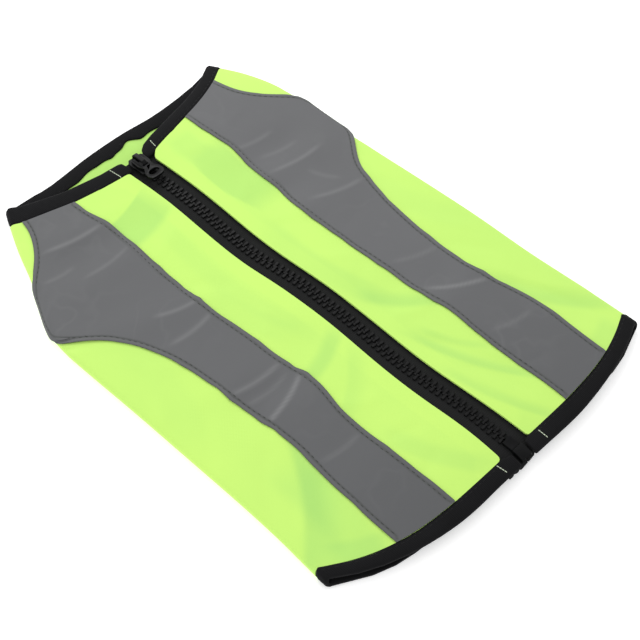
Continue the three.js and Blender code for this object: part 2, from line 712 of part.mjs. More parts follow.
function zipChain(side) {
  const [x0, x1] = [side.sign * CHAIN.inner, side.sign * CHAIN.outer];
  const [top, bottom] = [CHAIN.centre + CHAIN.half, CHAIN.centre - CHAIN.half];
  return zipBar(x0, x1, CHAIN.hemEnd, CHAIN.neckEnd, top, bottom, TAPE_STEPS);
}

const wasm = await Module();
wasm.setup();

function toSolid(geometry) {
  const merged = closedMesh(geometry);
  return new wasm.Manifold(new wasm.Mesh({
    numProp: 3,
    vertProperties: new Float32Array(merged.attributes.position.array),
    triVerts: new Uint32Array(merged.index.array),
  }));
}

function fromSolid(solid) {
  const mesh = solid.getMesh();
  const geometry = new THREE.BufferGeometry();
  geometry.setAttribute('position', new THREE.BufferAttribute(new Float32Array(mesh.vertProperties), 3));
  geometry.setIndex(new THREE.BufferAttribute(new Uint32Array(mesh.triVerts), 1));
  geometry.computeVertexNormals();
  return geometry;
}

const block = (xHalf, y0, y1, z0, z1, xCentre = 0) => new THREE.BoxGeometry(2 * xHalf, y1 - y0, z1 - z0)
  .translate(xCentre, (y0 + y1) / 2, (z0 + z1) / 2);

const ZIP_TOP = { x: zipLine(TAB.axis), z: crestAt(TAB.axis) };     // the slider's seat on the zip

const flat = (points) => points.map(([x, y]) => new THREE.Vector2(x, y));
const mirrored = (half) => [...half, ...half.map(([x, y]) => [-x, y]).reverse()];

function sliderPlate(z) {
  const { from, to, rearHalf, shoulderHalf, rearCorner, frontCorner } = SLIDER;
  const outline = mirrored([
    [shoulderHalf - frontCorner.across, to], [shoulderHalf, to - frontCorner.along],
    [shoulderHalf, from + SLIDER.shoulderTo], [rearHalf, from + SLIDER.shoulderFrom],
    [rearHalf, from + rearCorner], [rearHalf - rearCorner, from],
  ]);
  const shape = new THREE.Shape(flat(outline));
  return new THREE.ExtrudeGeometry(shape, { depth: SLIDER.plate, bevelEnabled: false }).translate(0, 0, z);
}

function sliderPost() {
  const { from, to, half, rearTaper, frontTaper, sunk } = SLIDER.post;
  const outline = [[0, from], [half, from + rearTaper], [half, to - frontTaper], [0, to],
    [-half, to - frontTaper], [-half, from + rearTaper]];
  const depth = SLIDER.top - SLIDER.bottom - 2 * sunk;
  return new THREE.ExtrudeGeometry(new THREE.Shape(flat(outline)), { depth, bevelEnabled: false })
    .translate(0, 0, SLIDER.bottom + sunk);
}

// A rim hangs from the top plate and another stands on the lower one, at each side.
function sliderRims() {
  const { wide, from, to, hangs, stands } = SLIDER.rim;
  const under = SLIDER.top - SLIDER.plate;
  const floor = SLIDER.bottom + SLIDER.plate;
  return [-1, 1].flatMap((sign) => {
    const x = sign * (SLIDER.rearHalf - wide / 2);
    const [y0, y1] = [SLIDER.from + from, SLIDER.from + to];
    return [
      block(wide / 2, y0, y1, under - wide, under + hangs, x),
      block(wide / 2, y0, y1, floor - wide, floor + stands, x),
    ];
  });
}

// The bridge over the top plate holds the pull tab's bar.
function sliderBridge() {
  const { from, to, wide, inside, wall, rearLeg, frontLeg, rearBend, frontBend, sunk } = SLIDER.bridge;
  const crown = SLIDER.top + inside + wall;
  const foot = SLIDER.top - sunk;
  const arch = new THREE.Shape(flat([
    [from, foot], [from, crown - frontBend], [from + rearBend, crown], [to - frontBend, crown],
    [to, crown - frontBend], [to, foot], [to - frontLeg, foot], [to - frontLeg, crown - wall],
    [from + rearLeg, crown - wall], [from + rearLeg, foot],
  ]));
  const body = new THREE.ExtrudeGeometry(arch, { depth: wide, bevelEnabled: false });
  body.applyMatrix4(new THREE.Matrix4().makeBasis(
    new THREE.Vector3(0, 1, 0), new THREE.Vector3(0, 0, 1), new THREE.Vector3(1, 0, 0)));
  return body.translate(-wide / 2, 0, 0);
}

// The slider: two plates joined by a post, rims that hold the chain, and a bridge.
function sliderGeometry() {
  const plates = [sliderPlate(SLIDER.top - SLIDER.plate), sliderPlate(SLIDER.bottom)];
  const parts = [...plates, sliderPost(), ...sliderRims(), sliderBridge()];
  return fromSolid(parts.map(toSolid).reduce((sum, part) => sum.add(part)));
}

// The pull tab, lying towards the hem from its bar under the bridge. Its own frame has
// the bar's axis at the origin and the tab reaching along -Y.
function tabGeometry() {
  const length = TAB.axis - TAB.tip;
  const { head, waist, end, slot, hole } = TAB;
  const half = [
    [head.half - head.corner, TAB.bar], [head.half, -head.from], [head.half, -head.to],
    [waist.half, -waist.from], [waist.half, -waist.to], [end.half - end.corner, -end.from],
    ...end.corners.map(([inwards, up]) => [end.half - inwards, up - length]),
  ];
  const slotPoints = [
    [-slot.half, -TAB.bar], [-slot.half, -slot.end], [slot.half, -slot.end], [slot.half, -TAB.bar],
  ];
  const holePoints = [];
  for (let i = 0; i < hole.steps; i += 1) {
    const turn = 2 * Math.PI * i / hole.steps;
    holePoints.push([hole.halfWide * Math.cos(turn), -hole.centre + hole.halfLong * Math.sin(turn)]);
  }
  return extrudeFlat(flat(mirrored(half)), [flat(slotPoints), flat(holePoints)], TAB.wall)
    .translate(0, 0, -TAB.wall / 2);
}

// ---------------------------------------------------------------- the vest

const finish = (color, roughness, metalness = 0) => new THREE.MeshStandardMaterial({
  color, roughness, metalness,
});

const LOOKS = {
  neon: () => finish(0xc9fb78, 0.8),
  reflective: () => finish(0x6f6f73, 0.45, 0.3),
  binding: () => finish(0x1c1c1e, 0.85),
  tape: () => finish(0x26262a, 0.85),
  plastic: () => finish(0x141416, 0.4),
};

const vest = new THREE.Group();
vest.name = 'reflective_dog_vest';

function place(name, geometry, look) {
  const mesh = new THREE.Mesh(geometry, LOOKS[look]());
  mesh.name = name;
  vest.add(mesh);
  return mesh;
}

place('belly_panel', bellyPanel(), 'neon');
for (const side of [LEFT, RIGHT]) {
  const grid = panelGrid(side);
  const stripGrid = layerGrid(grid).slice(COLUMNS.front, COLUMNS.front + COLUMNS.strip + 1);
  place(`back_panel_${side.name}`, clothWall(grid, 0, CLOTH), 'neon');
  place(`reflective_strip_${side.name}`, clothWall(stripGrid, SEAM_GAP + STRIP, STRIP), 'reflective');
  place(`leg_binding_${side.name}`, legBinding(side), 'binding');
  place(`zip_tape_${side.name}`, zipTape(side), 'tape');
  place(`zip_chain_${side.name}`, zipChain(side), 'plastic');
}
place('neck_binding', loopBinding('neck'), 'binding');
place('hem_binding', loopBinding('hem'), 'binding');
place('zip_pin', zipBar(-PIN.half, PIN.half, PIN.from, PIN.to, PIN.top, PIN.bottom, 2), 'plastic');
place('zip_box', zipBar(-BOX.half, BOX.half, BOX.from, BOX.to, BOX.top, BOX.bottom, 2), 'plastic');
place('zip_slider', sliderGeometry(), 'plastic').position.set(ZIP_TOP.x, 0, ZIP_TOP.z);
place('zip_pull_tab', tabGeometry(), 'plastic').position
  .set(ZIP_TOP.x, TAB.axis, ZIP_TOP.z + SLIDER.top + SLIDER.bridge.inside / 2);

// The origin moves to the bottom centre of the vest's box.
vest.updateMatrixWorld(true);
const box = new THREE.Box3().setFromObject(vest, true);
const centre = box.getCenter(new THREE.Vector3());
vest.position.set(-centre.x, -centre.y, -box.min.z);
vest.updateMatrixWorld(true);

export default vest;
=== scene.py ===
# %% [markdown]
# # A reflective vest for a small dog
# The vest lies flat with its zip uppermost. It is a flattened tube of bright knitted
# polyester: one belly panel below, and two back panels above that turn round the sides
# and tuck under. Silver reflective strips are sewn on the back, black tape binds the
# neck, the hem and the leg holes, and a moulded zip closes the back.
#
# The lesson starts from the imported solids, which give every size and place.

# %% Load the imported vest
import math

import bpy
import numpy as np
from mathutils import Matrix, Vector
from mathutils.bvhtree import BVHTree
from mathutils.kdtree import KDTree


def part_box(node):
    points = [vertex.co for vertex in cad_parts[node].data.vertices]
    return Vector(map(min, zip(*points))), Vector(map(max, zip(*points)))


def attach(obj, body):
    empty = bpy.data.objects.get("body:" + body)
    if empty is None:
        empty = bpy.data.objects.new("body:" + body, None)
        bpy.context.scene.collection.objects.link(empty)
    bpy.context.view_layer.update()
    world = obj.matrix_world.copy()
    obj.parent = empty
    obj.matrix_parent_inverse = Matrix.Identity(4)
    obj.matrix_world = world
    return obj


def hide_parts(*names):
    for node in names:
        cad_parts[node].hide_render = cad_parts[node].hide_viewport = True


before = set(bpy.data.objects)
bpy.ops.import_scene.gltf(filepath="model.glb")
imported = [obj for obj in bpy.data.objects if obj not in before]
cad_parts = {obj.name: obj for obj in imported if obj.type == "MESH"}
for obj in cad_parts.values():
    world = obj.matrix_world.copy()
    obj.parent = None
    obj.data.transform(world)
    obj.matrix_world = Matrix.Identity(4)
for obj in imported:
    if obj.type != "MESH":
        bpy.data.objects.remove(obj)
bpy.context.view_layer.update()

MM = 0.001

# %% [markdown]
# ## Camera
# A long lens some way off keeps the vest's edges nearly parallel. The camera looks
# down along the zip from the hem's left corner. It could be aimed with a Track To
# constraint, but a fixed place and turn is plainer and never shifts.

# %% Camera
bpy.ops.object.select_all(action="DESELECT")
bpy.ops.object.camera_add(
    location=(-0.30221, -0.31421, 0.53418),
    rotation=(math.radians(38.36), 0, math.radians(-45.567)),
)
camera = bpy.context.object
camera.name = "camera"
camera.data.lens = 87.96
camera.data.sensor_width = 36
camera.data.clip_start = 0.01
bpy.context.scene.camera = camera
print("camera lens", camera.data.lens)

# %% [markdown]
# ## Light and floor
# Soft studio light comes from all round, so folds show as gentle changes of tone. A
# bright plain world gives that, and two large weak lamps add a direction to it. Hard
# lamps would draw dark shadows that a white studio doesn't have. The floor glows a
# little, as a lit white table does, so that the vest's own shadow stays faint.

# %% World and lamps
world = bpy.data.worlds.new("studio")
bpy.context.scene.world = world
world.use_nodes = True
sky = world.node_tree.nodes["Background"]
sky.inputs["Color"].default_value = (1, 1, 1, 1)
sky.inputs["Strength"].default_value = 0.8
bpy.context.scene.view_settings.view_transform = "Standard"


def soft_lamp(name, place, size, power):
    """A large square lamp that shines from place towards the vest; metres and watts."""
    bpy.ops.object.light_add(type="AREA", location=place)
    lamp = bpy.context.object
    lamp.name = name
    lamp.data.shape = "SQUARE"
    lamp.data.size = size
    lamp.data.energy = power
    lamp.rotation_euler = (-Vector(place)).to_track_quat("-Z", "Y").to_euler()
    print(lamp.name, "shines with", lamp.data.energy, "W")


soft_lamp("lamp_back", (0.35, 0.75, 0.75), 0.7, 5.5)
soft_lamp("lamp_left", (-0.9, 0.1, 0.6), 0.8, 1.5)

# %% [markdown]
# ## Shared finishes
# Three effects come back in several materials: a knit's fine grain, the ribs of a
# woven tape, and a slow change of tone from handling. Each is a node group that is
# built once and placed in each material with its own values.

# %% Node helpers


def new_group(name, inputs, outputs):
    """An empty shader group with float or vector sockets, and its two end nodes."""
    group = bpy.data.node_groups.new(name, "ShaderNodeTree")
    for label, kind, value in inputs:
        socket = group.interface.new_socket(label, in_out="INPUT", socket_type=kind)
        if kind == "NodeSocketFloat":
            socket.default_value = value
    for label, kind in outputs:
        group.interface.new_socket(label, in_out="OUTPUT", socket_type=kind)
    start = group.nodes.new("NodeGroupInput")
    end = group.nodes.new("NodeGroupOutput")
    return group, start, end


def maths(tree, operation, a, b=None, c=None):
    """A Math node; each of a, b and c is a number or another node's output."""
    node = tree.nodes.new("ShaderNodeMath")
    node.operation = operation
    for i, value in enumerate((a, b, c)):
        if value is None:
            continue
        if isinstance(value, (int, float)):
            node.inputs[i].default_value = value
        else:
            tree.links.new(value, node.inputs[i])
    return node.outputs[0]


def noise(tree, vector, scale, detail=2.0, rough=0.5):
    """A noise texture's value; scale is a number or an output."""
    node = tree.nodes.new("ShaderNodeTexNoise")
    node.inputs["Detail"].default_value = detail
    node.inputs["Roughness"].default_value = rough
    if isinstance(scale, (int, float)):
        node.inputs["Scale"].default_value = scale
    else:
        tree.links.new(scale, node.inputs["Scale"])
    tree.links.new(vector, node.inputs["Vector"])
    return node.outputs["Fac"]


print("node helpers are ready")

# %% The knit's grain
# Rows of loops along X and Y, broken by a fine noise.
F, V = "NodeSocketFloat", "NodeSocketVector"
FUZZ_SCALE = {"knit": 2600, "ribs": 1800}
knit, start, end = new_group(
    "knit_grain", [("Vector", V, 0), ("Pitch mm", F, 0.6), ("Fuzz", F, 0.5)], [("Height", F)]
)
split = knit.nodes.new("ShaderNodeSeparateXYZ")
knit.links.new(start.outputs["Vector"], split.inputs[0])
turns = maths(knit, "DIVIDE", 2 * math.pi / MM, start.outputs["Pitch mm"])
across, along = (maths(knit, "SINE", maths(knit, "MULTIPLY", split.outputs[k], turns)) for k in (0, 1))
loops = maths(knit, "MULTIPLY", across, along)
grain = noise(knit, start.outputs["Vector"], FUZZ_SCALE["knit"], 3)
fuzz = maths(knit, "MULTIPLY", grain, start.outputs["Fuzz"])
knit.links.new(maths(knit, "ADD", maths(knit, "MULTIPLY", loops, 0.25), fuzz), end.inputs["Height"])
print("group:", knit.name)

# %% The tape's ribs and the slow change of tone
# Woven ribs, counted along a run of tape.
ribs, start, end = new_group(
    "tape_ribs",
    [("Run", F, 0), ("Vector", V, 0), ("Pitch mm", F, 0.8), ("Fuzz", F, 0.4)],
    [("Height", F)],
)
turns = maths(ribs, "DIVIDE", 2 * math.pi / MM, start.outputs["Pitch mm"])
wave = maths(ribs, "SINE", maths(ribs, "MULTIPLY", start.outputs["Run"], turns))
grain = noise(ribs, start.outputs["Vector"], FUZZ_SCALE["ribs"], 3)
fuzz = maths(ribs, "MULTIPLY", grain, start.outputs["Fuzz"])
ribs.links.new(maths(ribs, "ADD", maths(ribs, "MULTIPLY", wave, 0.5), fuzz), end.inputs["Height"])

# A slow change of tone, from 0 to 1.
tone, start, end = new_group(
    "slow_tone", [("Vector", V, 0), ("Scale", F, 20), ("Contrast", F, 1)], [("Mask", F)]
)
slow = noise(tone, start.outputs["Vector"], start.outputs["Scale"], 3, 0.55)
centred = maths(tone, "MULTIPLY", maths(tone, "SUBTRACT", slow, 0.5), start.outputs["Contrast"])
mask = maths(tone, "ADD", centred, 0.5)
mask.node.use_clamp = True
tone.links.new(mask, end.inputs["Mask"])
print("groups:", ribs.name, "and", tone.name)

# %% [markdown]
# ## Materials
# The bright polyester is a fine knit with a soft sheen. Where it lies hollow, shade is
# painted into it: a painted shade value on the mesh mixes two yellows. The reflective
# fabric is a dull film of tiny glass beads. A painted highlight lightens it along sharp
# creases, and painted shade darkens its cut edge and its sewn groove. The tape is a matt
# black weave, and the zip is moulded black plastic, a little shinier where fingers rub it.

# %% Helpers for materials


def new_material(name, roughness, **plain):
    """A material with its Principled shader set; plain holds the shader's fixed values."""
    material = bpy.data.materials.new(name)
    material.use_nodes = True
    shader = material.node_tree.nodes["Principled BSDF"]
    shader.inputs["Roughness"].default_value = roughness
    for socket, value in plain.items():
        shader.inputs[socket.replace("_", " ")].default_value = value
    return material, material.node_tree, shader


def place_group(tree, group, **values):
    """One use of a node group; each value is a number or another node's output."""
    node = tree.nodes.new("ShaderNodeGroup")
    node.node_tree = group
    for label, value in values.items():
        socket = node.inputs[label.replace("_", " ")]
        if isinstance(value, (int, float)):
            socket.default_value = value
        else:
            tree.links.new(value, socket)
    return node.outputs[0]


def blend_colours(tree, mask, low, high):
    """A colour between low, where the mask is 0, and high, where it is 1."""
    node = tree.nodes.new("ShaderNodeMix")
    node.data_type = "RGBA"
    for label, colour in (("A", low), ("B", high)):
        if isinstance(colour, tuple):
            node.inputs[label].default_value = (*colour, 1)
        else:
            tree.links.new(colour, node.inputs[label])
    tree.links.new(mask, node.inputs["Factor"])
    return node.outputs["Result"]


print("helpers for one material are ready")

# %% Helpers for surfaces


def between(tree, mask, low, high):
    """A number between low and high by the mask."""
    return maths(tree, "MULTIPLY_ADD", mask, high - low, low)


def bump(tree, shader, height, strength, deep=0.1):
    """Raises the surface by the height, which is 0 to 1 over deep millimetres."""
    node = tree.nodes.new("ShaderNodeBump")
    node.inputs["Strength"].default_value = strength
    node.inputs["Distance"].default_value = deep * MM
    tree.links.new(height, node.inputs["Height"])
    tree.links.new(node.outputs["Normal"], shader.inputs["Normal"])


def object_place(tree):
    """The point's place on the object, in metres."""
    return tree.nodes.new("ShaderNodeTexCoord").outputs["Object"]


def own_value(tree, name):
    """A value that is stored on the piece's own mesh."""
    node = tree.nodes.new("ShaderNodeAttribute")
    node.attribute_name = name
    return node.outputs["Fac"]


def toned_material(name, colours, roughness, scale, contrast, **plain):
    """A material whose colour and roughness drift slowly between two values each."""
    material, tree, shader = new_material(name, sum(roughness) / 2, **plain)
    place = object_place(tree)
    slow = place_group(tree, tone, Vector=place, Scale=scale, Contrast=contrast)
    tree.links.new(blend_colours(tree, slow, *colours), shader.inputs["Base Color"])
    tree.links.new(between(tree, slow, *roughness), shader.inputs["Roughness"])
    return material, tree, shader, place


print("helpers for surfaces are ready")

# %% Floor
FLOOR_SIZE, FLOOR_BELOW = 6, 0.3 * MM      # metres
bpy.ops.object.select_all(action="DESELECT")
bpy.ops.mesh.primitive_plane_add(size=FLOOR_SIZE, location=(0, 0, -FLOOR_BELOW))
floor = bpy.context.object
floor.name = "floor"
bpy.ops.object.transform_apply(location=True, rotation=True, scale=True)
paper, tree, shader = new_material("floor_paper", 0.9, Specular_IOR_Level=0.1, Emission_Strength=0.42)
slow = place_group(tree, tone, Vector=object_place(tree), Scale=3, Contrast=0.6)
white = blend_colours(tree, slow, (0.9, 0.9, 0.9), (0.92, 0.92, 0.92))
tree.links.new(white, shader.inputs["Base Color"])
shader.inputs["Emission Color"].default_value = (1, 1, 1, 1)
floor.data.materials.append(paper)
print("the floor lies at", round(floor.data.vertices[0].co.z, 5))

# %% Bright polyester
bright, tree, shader = new_material(
    "bright_polyester", 0.75, Specular_IOR_Level=0.25, Sheen_Weight=0.12, Sheen_Roughness=0.5
)
place = object_place(tree)
slow = place_group(tree, tone, Vector=place, Scale=14, Contrast=1.3)
# Painted shade: the painted shade value makes the yellow greener and darker in folds and hollows, and
# the slow tone adds random variation.
mask = maths(tree, "ADD", own_value(tree, "painted_shade"), between(tree, slow, -0.1, 0.26))
mask.node.use_clamp = True
yellows = blend_colours(tree, mask, (0.59, 0.90, 0.171), (0.375, 0.70, 0.160))
tree.links.new(yellows, shader.inputs["Base Color"])
tree.links.new(between(tree, slow, 0.68, 0.82), shader.inputs["Roughness"])
bump(tree, shader, place_group(tree, knit, Vector=place, Pitch_mm=0.9, Fuzz=0.6), 0.35, 0.12)
print("finish:", bright.name)

# %% Silver reflective fabric
# The value "crease" is 1 on a sharp crease and mixes in a painted highlight there.
# The value "edge" is high in the sewn groove and at the cut edge and mixes in painted
# shade, and the shade value paints the slow darkening towards the hem. Thin painted
# highlight lines follow the middle value of a noise.
silver, tree, shader = new_material("silver_fabric", 0.62, Specular_IOR_Level=0.25)
place = object_place(tree)
slow = place_group(tree, tone, Vector=place, Scale=22, Contrast=1.2)
film = blend_colours(tree, slow, (0.114, 0.115, 0.119), (0.136, 0.138, 0.143))
# Painted shade: the shade value darkens the film over the left strip and towards the hem.
film = blend_colours(tree, own_value(tree, "painted_shade"), film, (0.103, 0.105, 0.109))
PAINTED_SHINE_LINES = {"scale": 42, "thin": 30, "patch_scale": 30, "patch_from": 0.42, "patch_gain": 1.6}
middle = maths(tree, "SUBTRACT", noise(tree, place, PAINTED_SHINE_LINES["scale"], 2), 0.5)
off_line = maths(tree, "MULTIPLY", maths(tree, "ABSOLUTE", middle), PAINTED_SHINE_LINES["thin"])
line = maths(tree, "SUBTRACT", 1, off_line)
line.node.use_clamp = True
patch = maths(tree, "SUBTRACT", noise(tree, place, PAINTED_SHINE_LINES["patch_scale"], 1), PAINTED_SHINE_LINES["patch_from"])
patchy = maths(tree, "MULTIPLY", patch, PAINTED_SHINE_LINES["patch_gain"])
patchy.node.use_clamp = True
# Painted highlight: thin lighter lines, in patches.
film = blend_colours(tree, maths(tree, "MULTIPLY", line, patchy), film, (0.138, 0.14, 0.144))
# Painted highlight along the sharp crease ridges.
film = blend_colours(tree, own_value(tree, "crease"), film, (0.185, 0.187, 0.191))
# Painted shade in the sewn groove and along the cut edge.
film = blend_colours(tree, own_value(tree, "edge"), film, (0.05, 0.056, 0.048))
tree.links.new(film, shader.inputs["Base Color"])
tree.links.new(between(tree, slow, 0.56, 0.68), shader.inputs["Roughness"])
bump(tree, shader, noise(tree, place, 2400, 2), 0.2, 0.04)
print("finish:", silver.name)

# %% Black tapes


def black_tape(name, low, high, pitch):
    """Matt woven tape, whose ribs count the run stored on its mesh; pitch is in mm."""
    material, tree, shader, place = toned_material(
        name, (low, high), (0.8, 0.95), 60, 1.5, Specular_IOR_Level=0.1, Sheen_Weight=0.03
    )
    run = own_value(tree, "run")
    bump(tree, shader, place_group(tree, ribs, Run=run, Vector=place, Pitch_mm=pitch), 0.5, 0.14)
    return material


binding_cloth = black_tape("binding_tape", (0.005, 0.005, 0.0055), (0.0095, 0.0095, 0.0105), 0.75)
zip_cloth = black_tape("zip_tape", (0.011, 0.0112, 0.0115), (0.017, 0.0172, 0.0175), 0.9)
print("finishes:", binding_cloth.name, "and", zip_cloth.name)

# %% Moulded plastic


def moulded(name, low, high, roughness, gloss):
    """Black plastic with a faint grain."""
    rough = (roughness - 0.08, roughness + 0.1)
    material, tree, shader, place = toned_material(
        name, (low, high), rough, 260, 1.8, Specular_IOR_Level=gloss
    )
    bump(tree, shader, noise(tree, place, 1500, 2), 0.2, 0.03)
    return material


tooth_plastic = moulded("tooth_plastic", (0.0025, 0.0025, 0.0027), (0.005, 0.005, 0.0053), 0.45, 0.14)
slider_plastic = moulded("slider_plastic", (0.0025, 0.0027, 0.003), (0.0055, 0.0057, 0.006), 0.38, 0.12)
print("finishes:", tooth_plastic.name, "and", slider_plastic.name)

# %% Sewing threads


def thread_material(name, low, high):
    """Twisted sewing thread."""
    material, tree, shader, place = toned_material(
        name, (low, high), (0.62, 0.8), 900, 2, Specular_IOR_Level=0.2, Sheen_Weight=0.1
    )
    bump(tree, shader, noise(tree, place, 3000, 2), 0.4, 0.04)
    return material


white_thread = thread_material("white_thread", (0.55, 0.66, 0.45), (0.8, 0.86, 0.7))
grey_thread = thread_material("grey_thread", (0.03, 0.033, 0.028), (0.055, 0.058, 0.05))
black_thread = thread_material("black_thread", (0.003, 0.003, 0.0033), (0.008, 0.008, 0.0085))
print("threads:", white_thread.name, grey_thread.name, black_thread.name)

# %% [markdown]
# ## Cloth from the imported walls
# Each panel is a real wall in the solids, with an outside, an inside and a rim. A grid
# could be shaped again from the start, but a copy of the outside already lies exactly
# where the cloth does. So the copy is merged, its inside is deleted, its triangles are
# joined to quads, and Subdivision Surface makes it fine enough for creases. Solidify
# then gives it a thin wall on its inner side.

# %% Helpers that pick and edit


def only(piece):
    """Deselects everything, then selects this piece and makes it active."""
    bpy.ops.object.select_all(action="DESELECT")
    piece.select_set(True)
    bpy.context.view_layer.objects.active = piece
    return piece


def edit(piece, mode="FACE", select=None):
    """Opens the piece in edit mode. Faces or points that pass the test are selected."""
    only(piece)
    bpy.ops.object.mode_set(mode="EDIT")
    bpy.ops.mesh.select_mode(type=mode)
    bpy.ops.mesh.select_all(action="SELECT" if select is None else "DESELECT")
    if select is not None:
        bpy.ops.object.mode_set(mode="OBJECT")
        items = piece.data.polygons if mode == "FACE" else piece.data.vertices
        for item in items:
            item.select = select(item)
        bpy.ops.object.mode_set(mode="EDIT")


def done():
    bpy.ops.object.mode_set(mode="OBJECT")


def done_outwards():
    """Turns all faces outwards and leaves edit mode."""
    bpy.ops.mesh.select_all(action="SELECT")
    bpy.ops.mesh.normals_make_consistent(inside=False)
    done()


print("edit helpers are ready")

# %% Helpers that copy a skin


def copy_node(node, name):
    """A piece with its own copy of a node's mesh, its doubles merged and its normals plain."""
    piece = bpy.data.objects.new(name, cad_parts[node].data.copy())
    bpy.context.collection.objects.link(piece)
    piece.data.materials.clear()
    only(piece)
    bpy.ops.mesh.customdata_custom_splitnormals_clear()
    edit(piece)
    bpy.ops.mesh.remove_doubles(threshold=0.01 * MM)
    done()
    return piece


def to_quads(piece, slant=80, skew=80):
    """Joins the piece's pairs of triangles to quads."""
    edit(piece)
    bpy.ops.mesh.tris_convert_to_quads(
        face_threshold=math.radians(slant), shape_threshold=math.radians(skew)
    )
    done()


ONE_SKIN = 70              # degrees that two neighbouring faces of one skin turn at most


def keep_skin(piece, seed, up=1):
    """Keeps the skin round the face that is nearest to seed and faces up or down."""
    facing = [f for f in piece.data.polygons if f.normal.z * up > 0.5]
    nearest = min(facing, key=lambda f: (f.center - Vector(seed)).length).index
    edit(piece, select=lambda face: face.index == nearest)
    bpy.ops.mesh.faces_select_linked_flat(sharpness=math.radians(ONE_SKIN))
    bpy.ops.mesh.select_all(action="INVERT")
    bpy.ops.mesh.delete(type="FACE")
    done()
    to_quads(piece)
    return piece


print("copy helpers are ready")

# %% Helpers that use modifiers


def apply(piece, kind, **settings):
    """Adds a modifier with these settings and applies it."""
    only(piece)
    modifier = piece.modifiers.new(kind.lower(), kind)
    for name, value in settings.items():
        setattr(modifier, name, value)
    bpy.ops.object.modifier_apply(modifier=modifier.name)


def refine(piece, levels, **settings):
    """Subdivides a piece, the same in the view and in the render."""
    apply(piece, "SUBSURF", levels=levels, render_levels=levels, **settings)


def round_edges(piece, width, sharper, segments=2):
    """Bevels the edges that turn by more than sharper degrees; the width is in mm."""
    apply(piece, "BEVEL", width=width * MM, segments=segments, limit_method="ANGLE",
          angle_limit=math.radians(sharper))


print("modifier helpers are ready")

# %% Helpers that move and measure points


def points_of(piece):
    """The mesh's points and normals as arrays, in metres."""
    n = len(piece.data.vertices)
    points, normals = np.empty(n * 3), np.empty(n * 3)
    piece.data.vertices.foreach_get("co", points)
    piece.data.vertex_normals.foreach_get("vector", normals)
    return points.reshape(-1, 3), normals.reshape(-1, 3)


def move_points(piece, points):
    piece.data.vertices.foreach_set("co", points.ravel())
    piece.data.update()


def rim_points(piece):
    """The points on the mesh's open edges."""
    edit(piece, "VERT")
    bpy.ops.mesh.select_all(action="DESELECT")
    bpy.ops.mesh.select_non_manifold(extend=False, use_wire=False, use_boundary=True,
                                     use_multi_face=False, use_non_contiguous=False, use_verts=False)
    done()
    return np.array([v.co for v in piece.data.vertices if v.select])


def distance_to(places, points):
    """How far each point is from the nearest of the places."""
    tree = KDTree(len(places))
    for i, p in enumerate(places):
        tree.insert(p, i)
    tree.balance()
    return np.array([tree.find(p)[2] for p in points])


def store(piece, name, values):
    """Stores a number at each point of the mesh."""
    layer = piece.data.attributes.new(name, "FLOAT", "POINT")
    layer.data.foreach_set("value", values.astype(np.float32))


def ramp(t):
    """0 below 0, 1 above 1, and a soft rise between."""
    t = np.clip(t, 0, 1)
    return t * t * (3 - 2 * t)


def bell(t):
    """1 at 0, falling softly to both sides."""
    return np.exp(-t * t)


print("point helpers are ready")

# %% Helpers that finish a piece


def smooth(piece, degrees=40):
    only(piece)
    bpy.ops.object.shade_smooth_by_angle(angle=math.radians(degrees))


def dress(piece, material, slot, *nodes, body="vest"):
    """Gives the piece its finish and body, and hides the nodes that it stands for; the slot is not
    used.
    """
    if not piece.data.materials:
        piece.data.materials.append(material)
    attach(piece, body)
    if nodes:
        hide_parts(*nodes)
    piece.data.calc_loop_triangles()
    print(f"{piece.name}: {len(piece.data.loop_triangles)} triangles")
    return piece


print("finishing helpers are ready")

# %% Helpers for edges and corners


def round_corner(points, corner, inward, radius):
    """Rounds a square corner in plan. Inward is the sign of X and of Y into the piece."""
    a = 1 - (points[:, 0] - corner[0]) * inward[0] / (radius * MM)
    b = 1 - (points[:, 1] - corner[1]) * inward[1] / (radius * MM)
    inside = (a > 0) & (b > 0)
    a, b = np.clip(a, 0, 1.1), np.clip(b, 0, 1.1)
    round_a, round_b = a * np.sqrt(1 - b * b / 2), b * np.sqrt(1 - a * a / 2)
    points[:, 0] += np.where(inside, (a - round_a) * inward[0] * radius * MM, 0)
    points[:, 1] += np.where(inside, (b - round_b) * inward[1] * radius * MM, 0)


def corner_of(rim, towards):
    """The rim's outermost point in the plan direction towards."""
    return rim[np.argmax(rim[:, 0] * towards[0] + rim[:, 1] * towards[1])]


CROWDED = 1.0              # mm


def ordered(points, axis):
    """The points in order along an axis, thinned where they are crowded."""
    points = points[np.argsort(points[:, axis])]
    kept = [points[0]]
    for p in points[1:]:
        if np.linalg.norm(p - kept[-1]) > CROWDED * MM:
            kept.append(p)
    return np.array(kept)


print("edge helpers are ready")
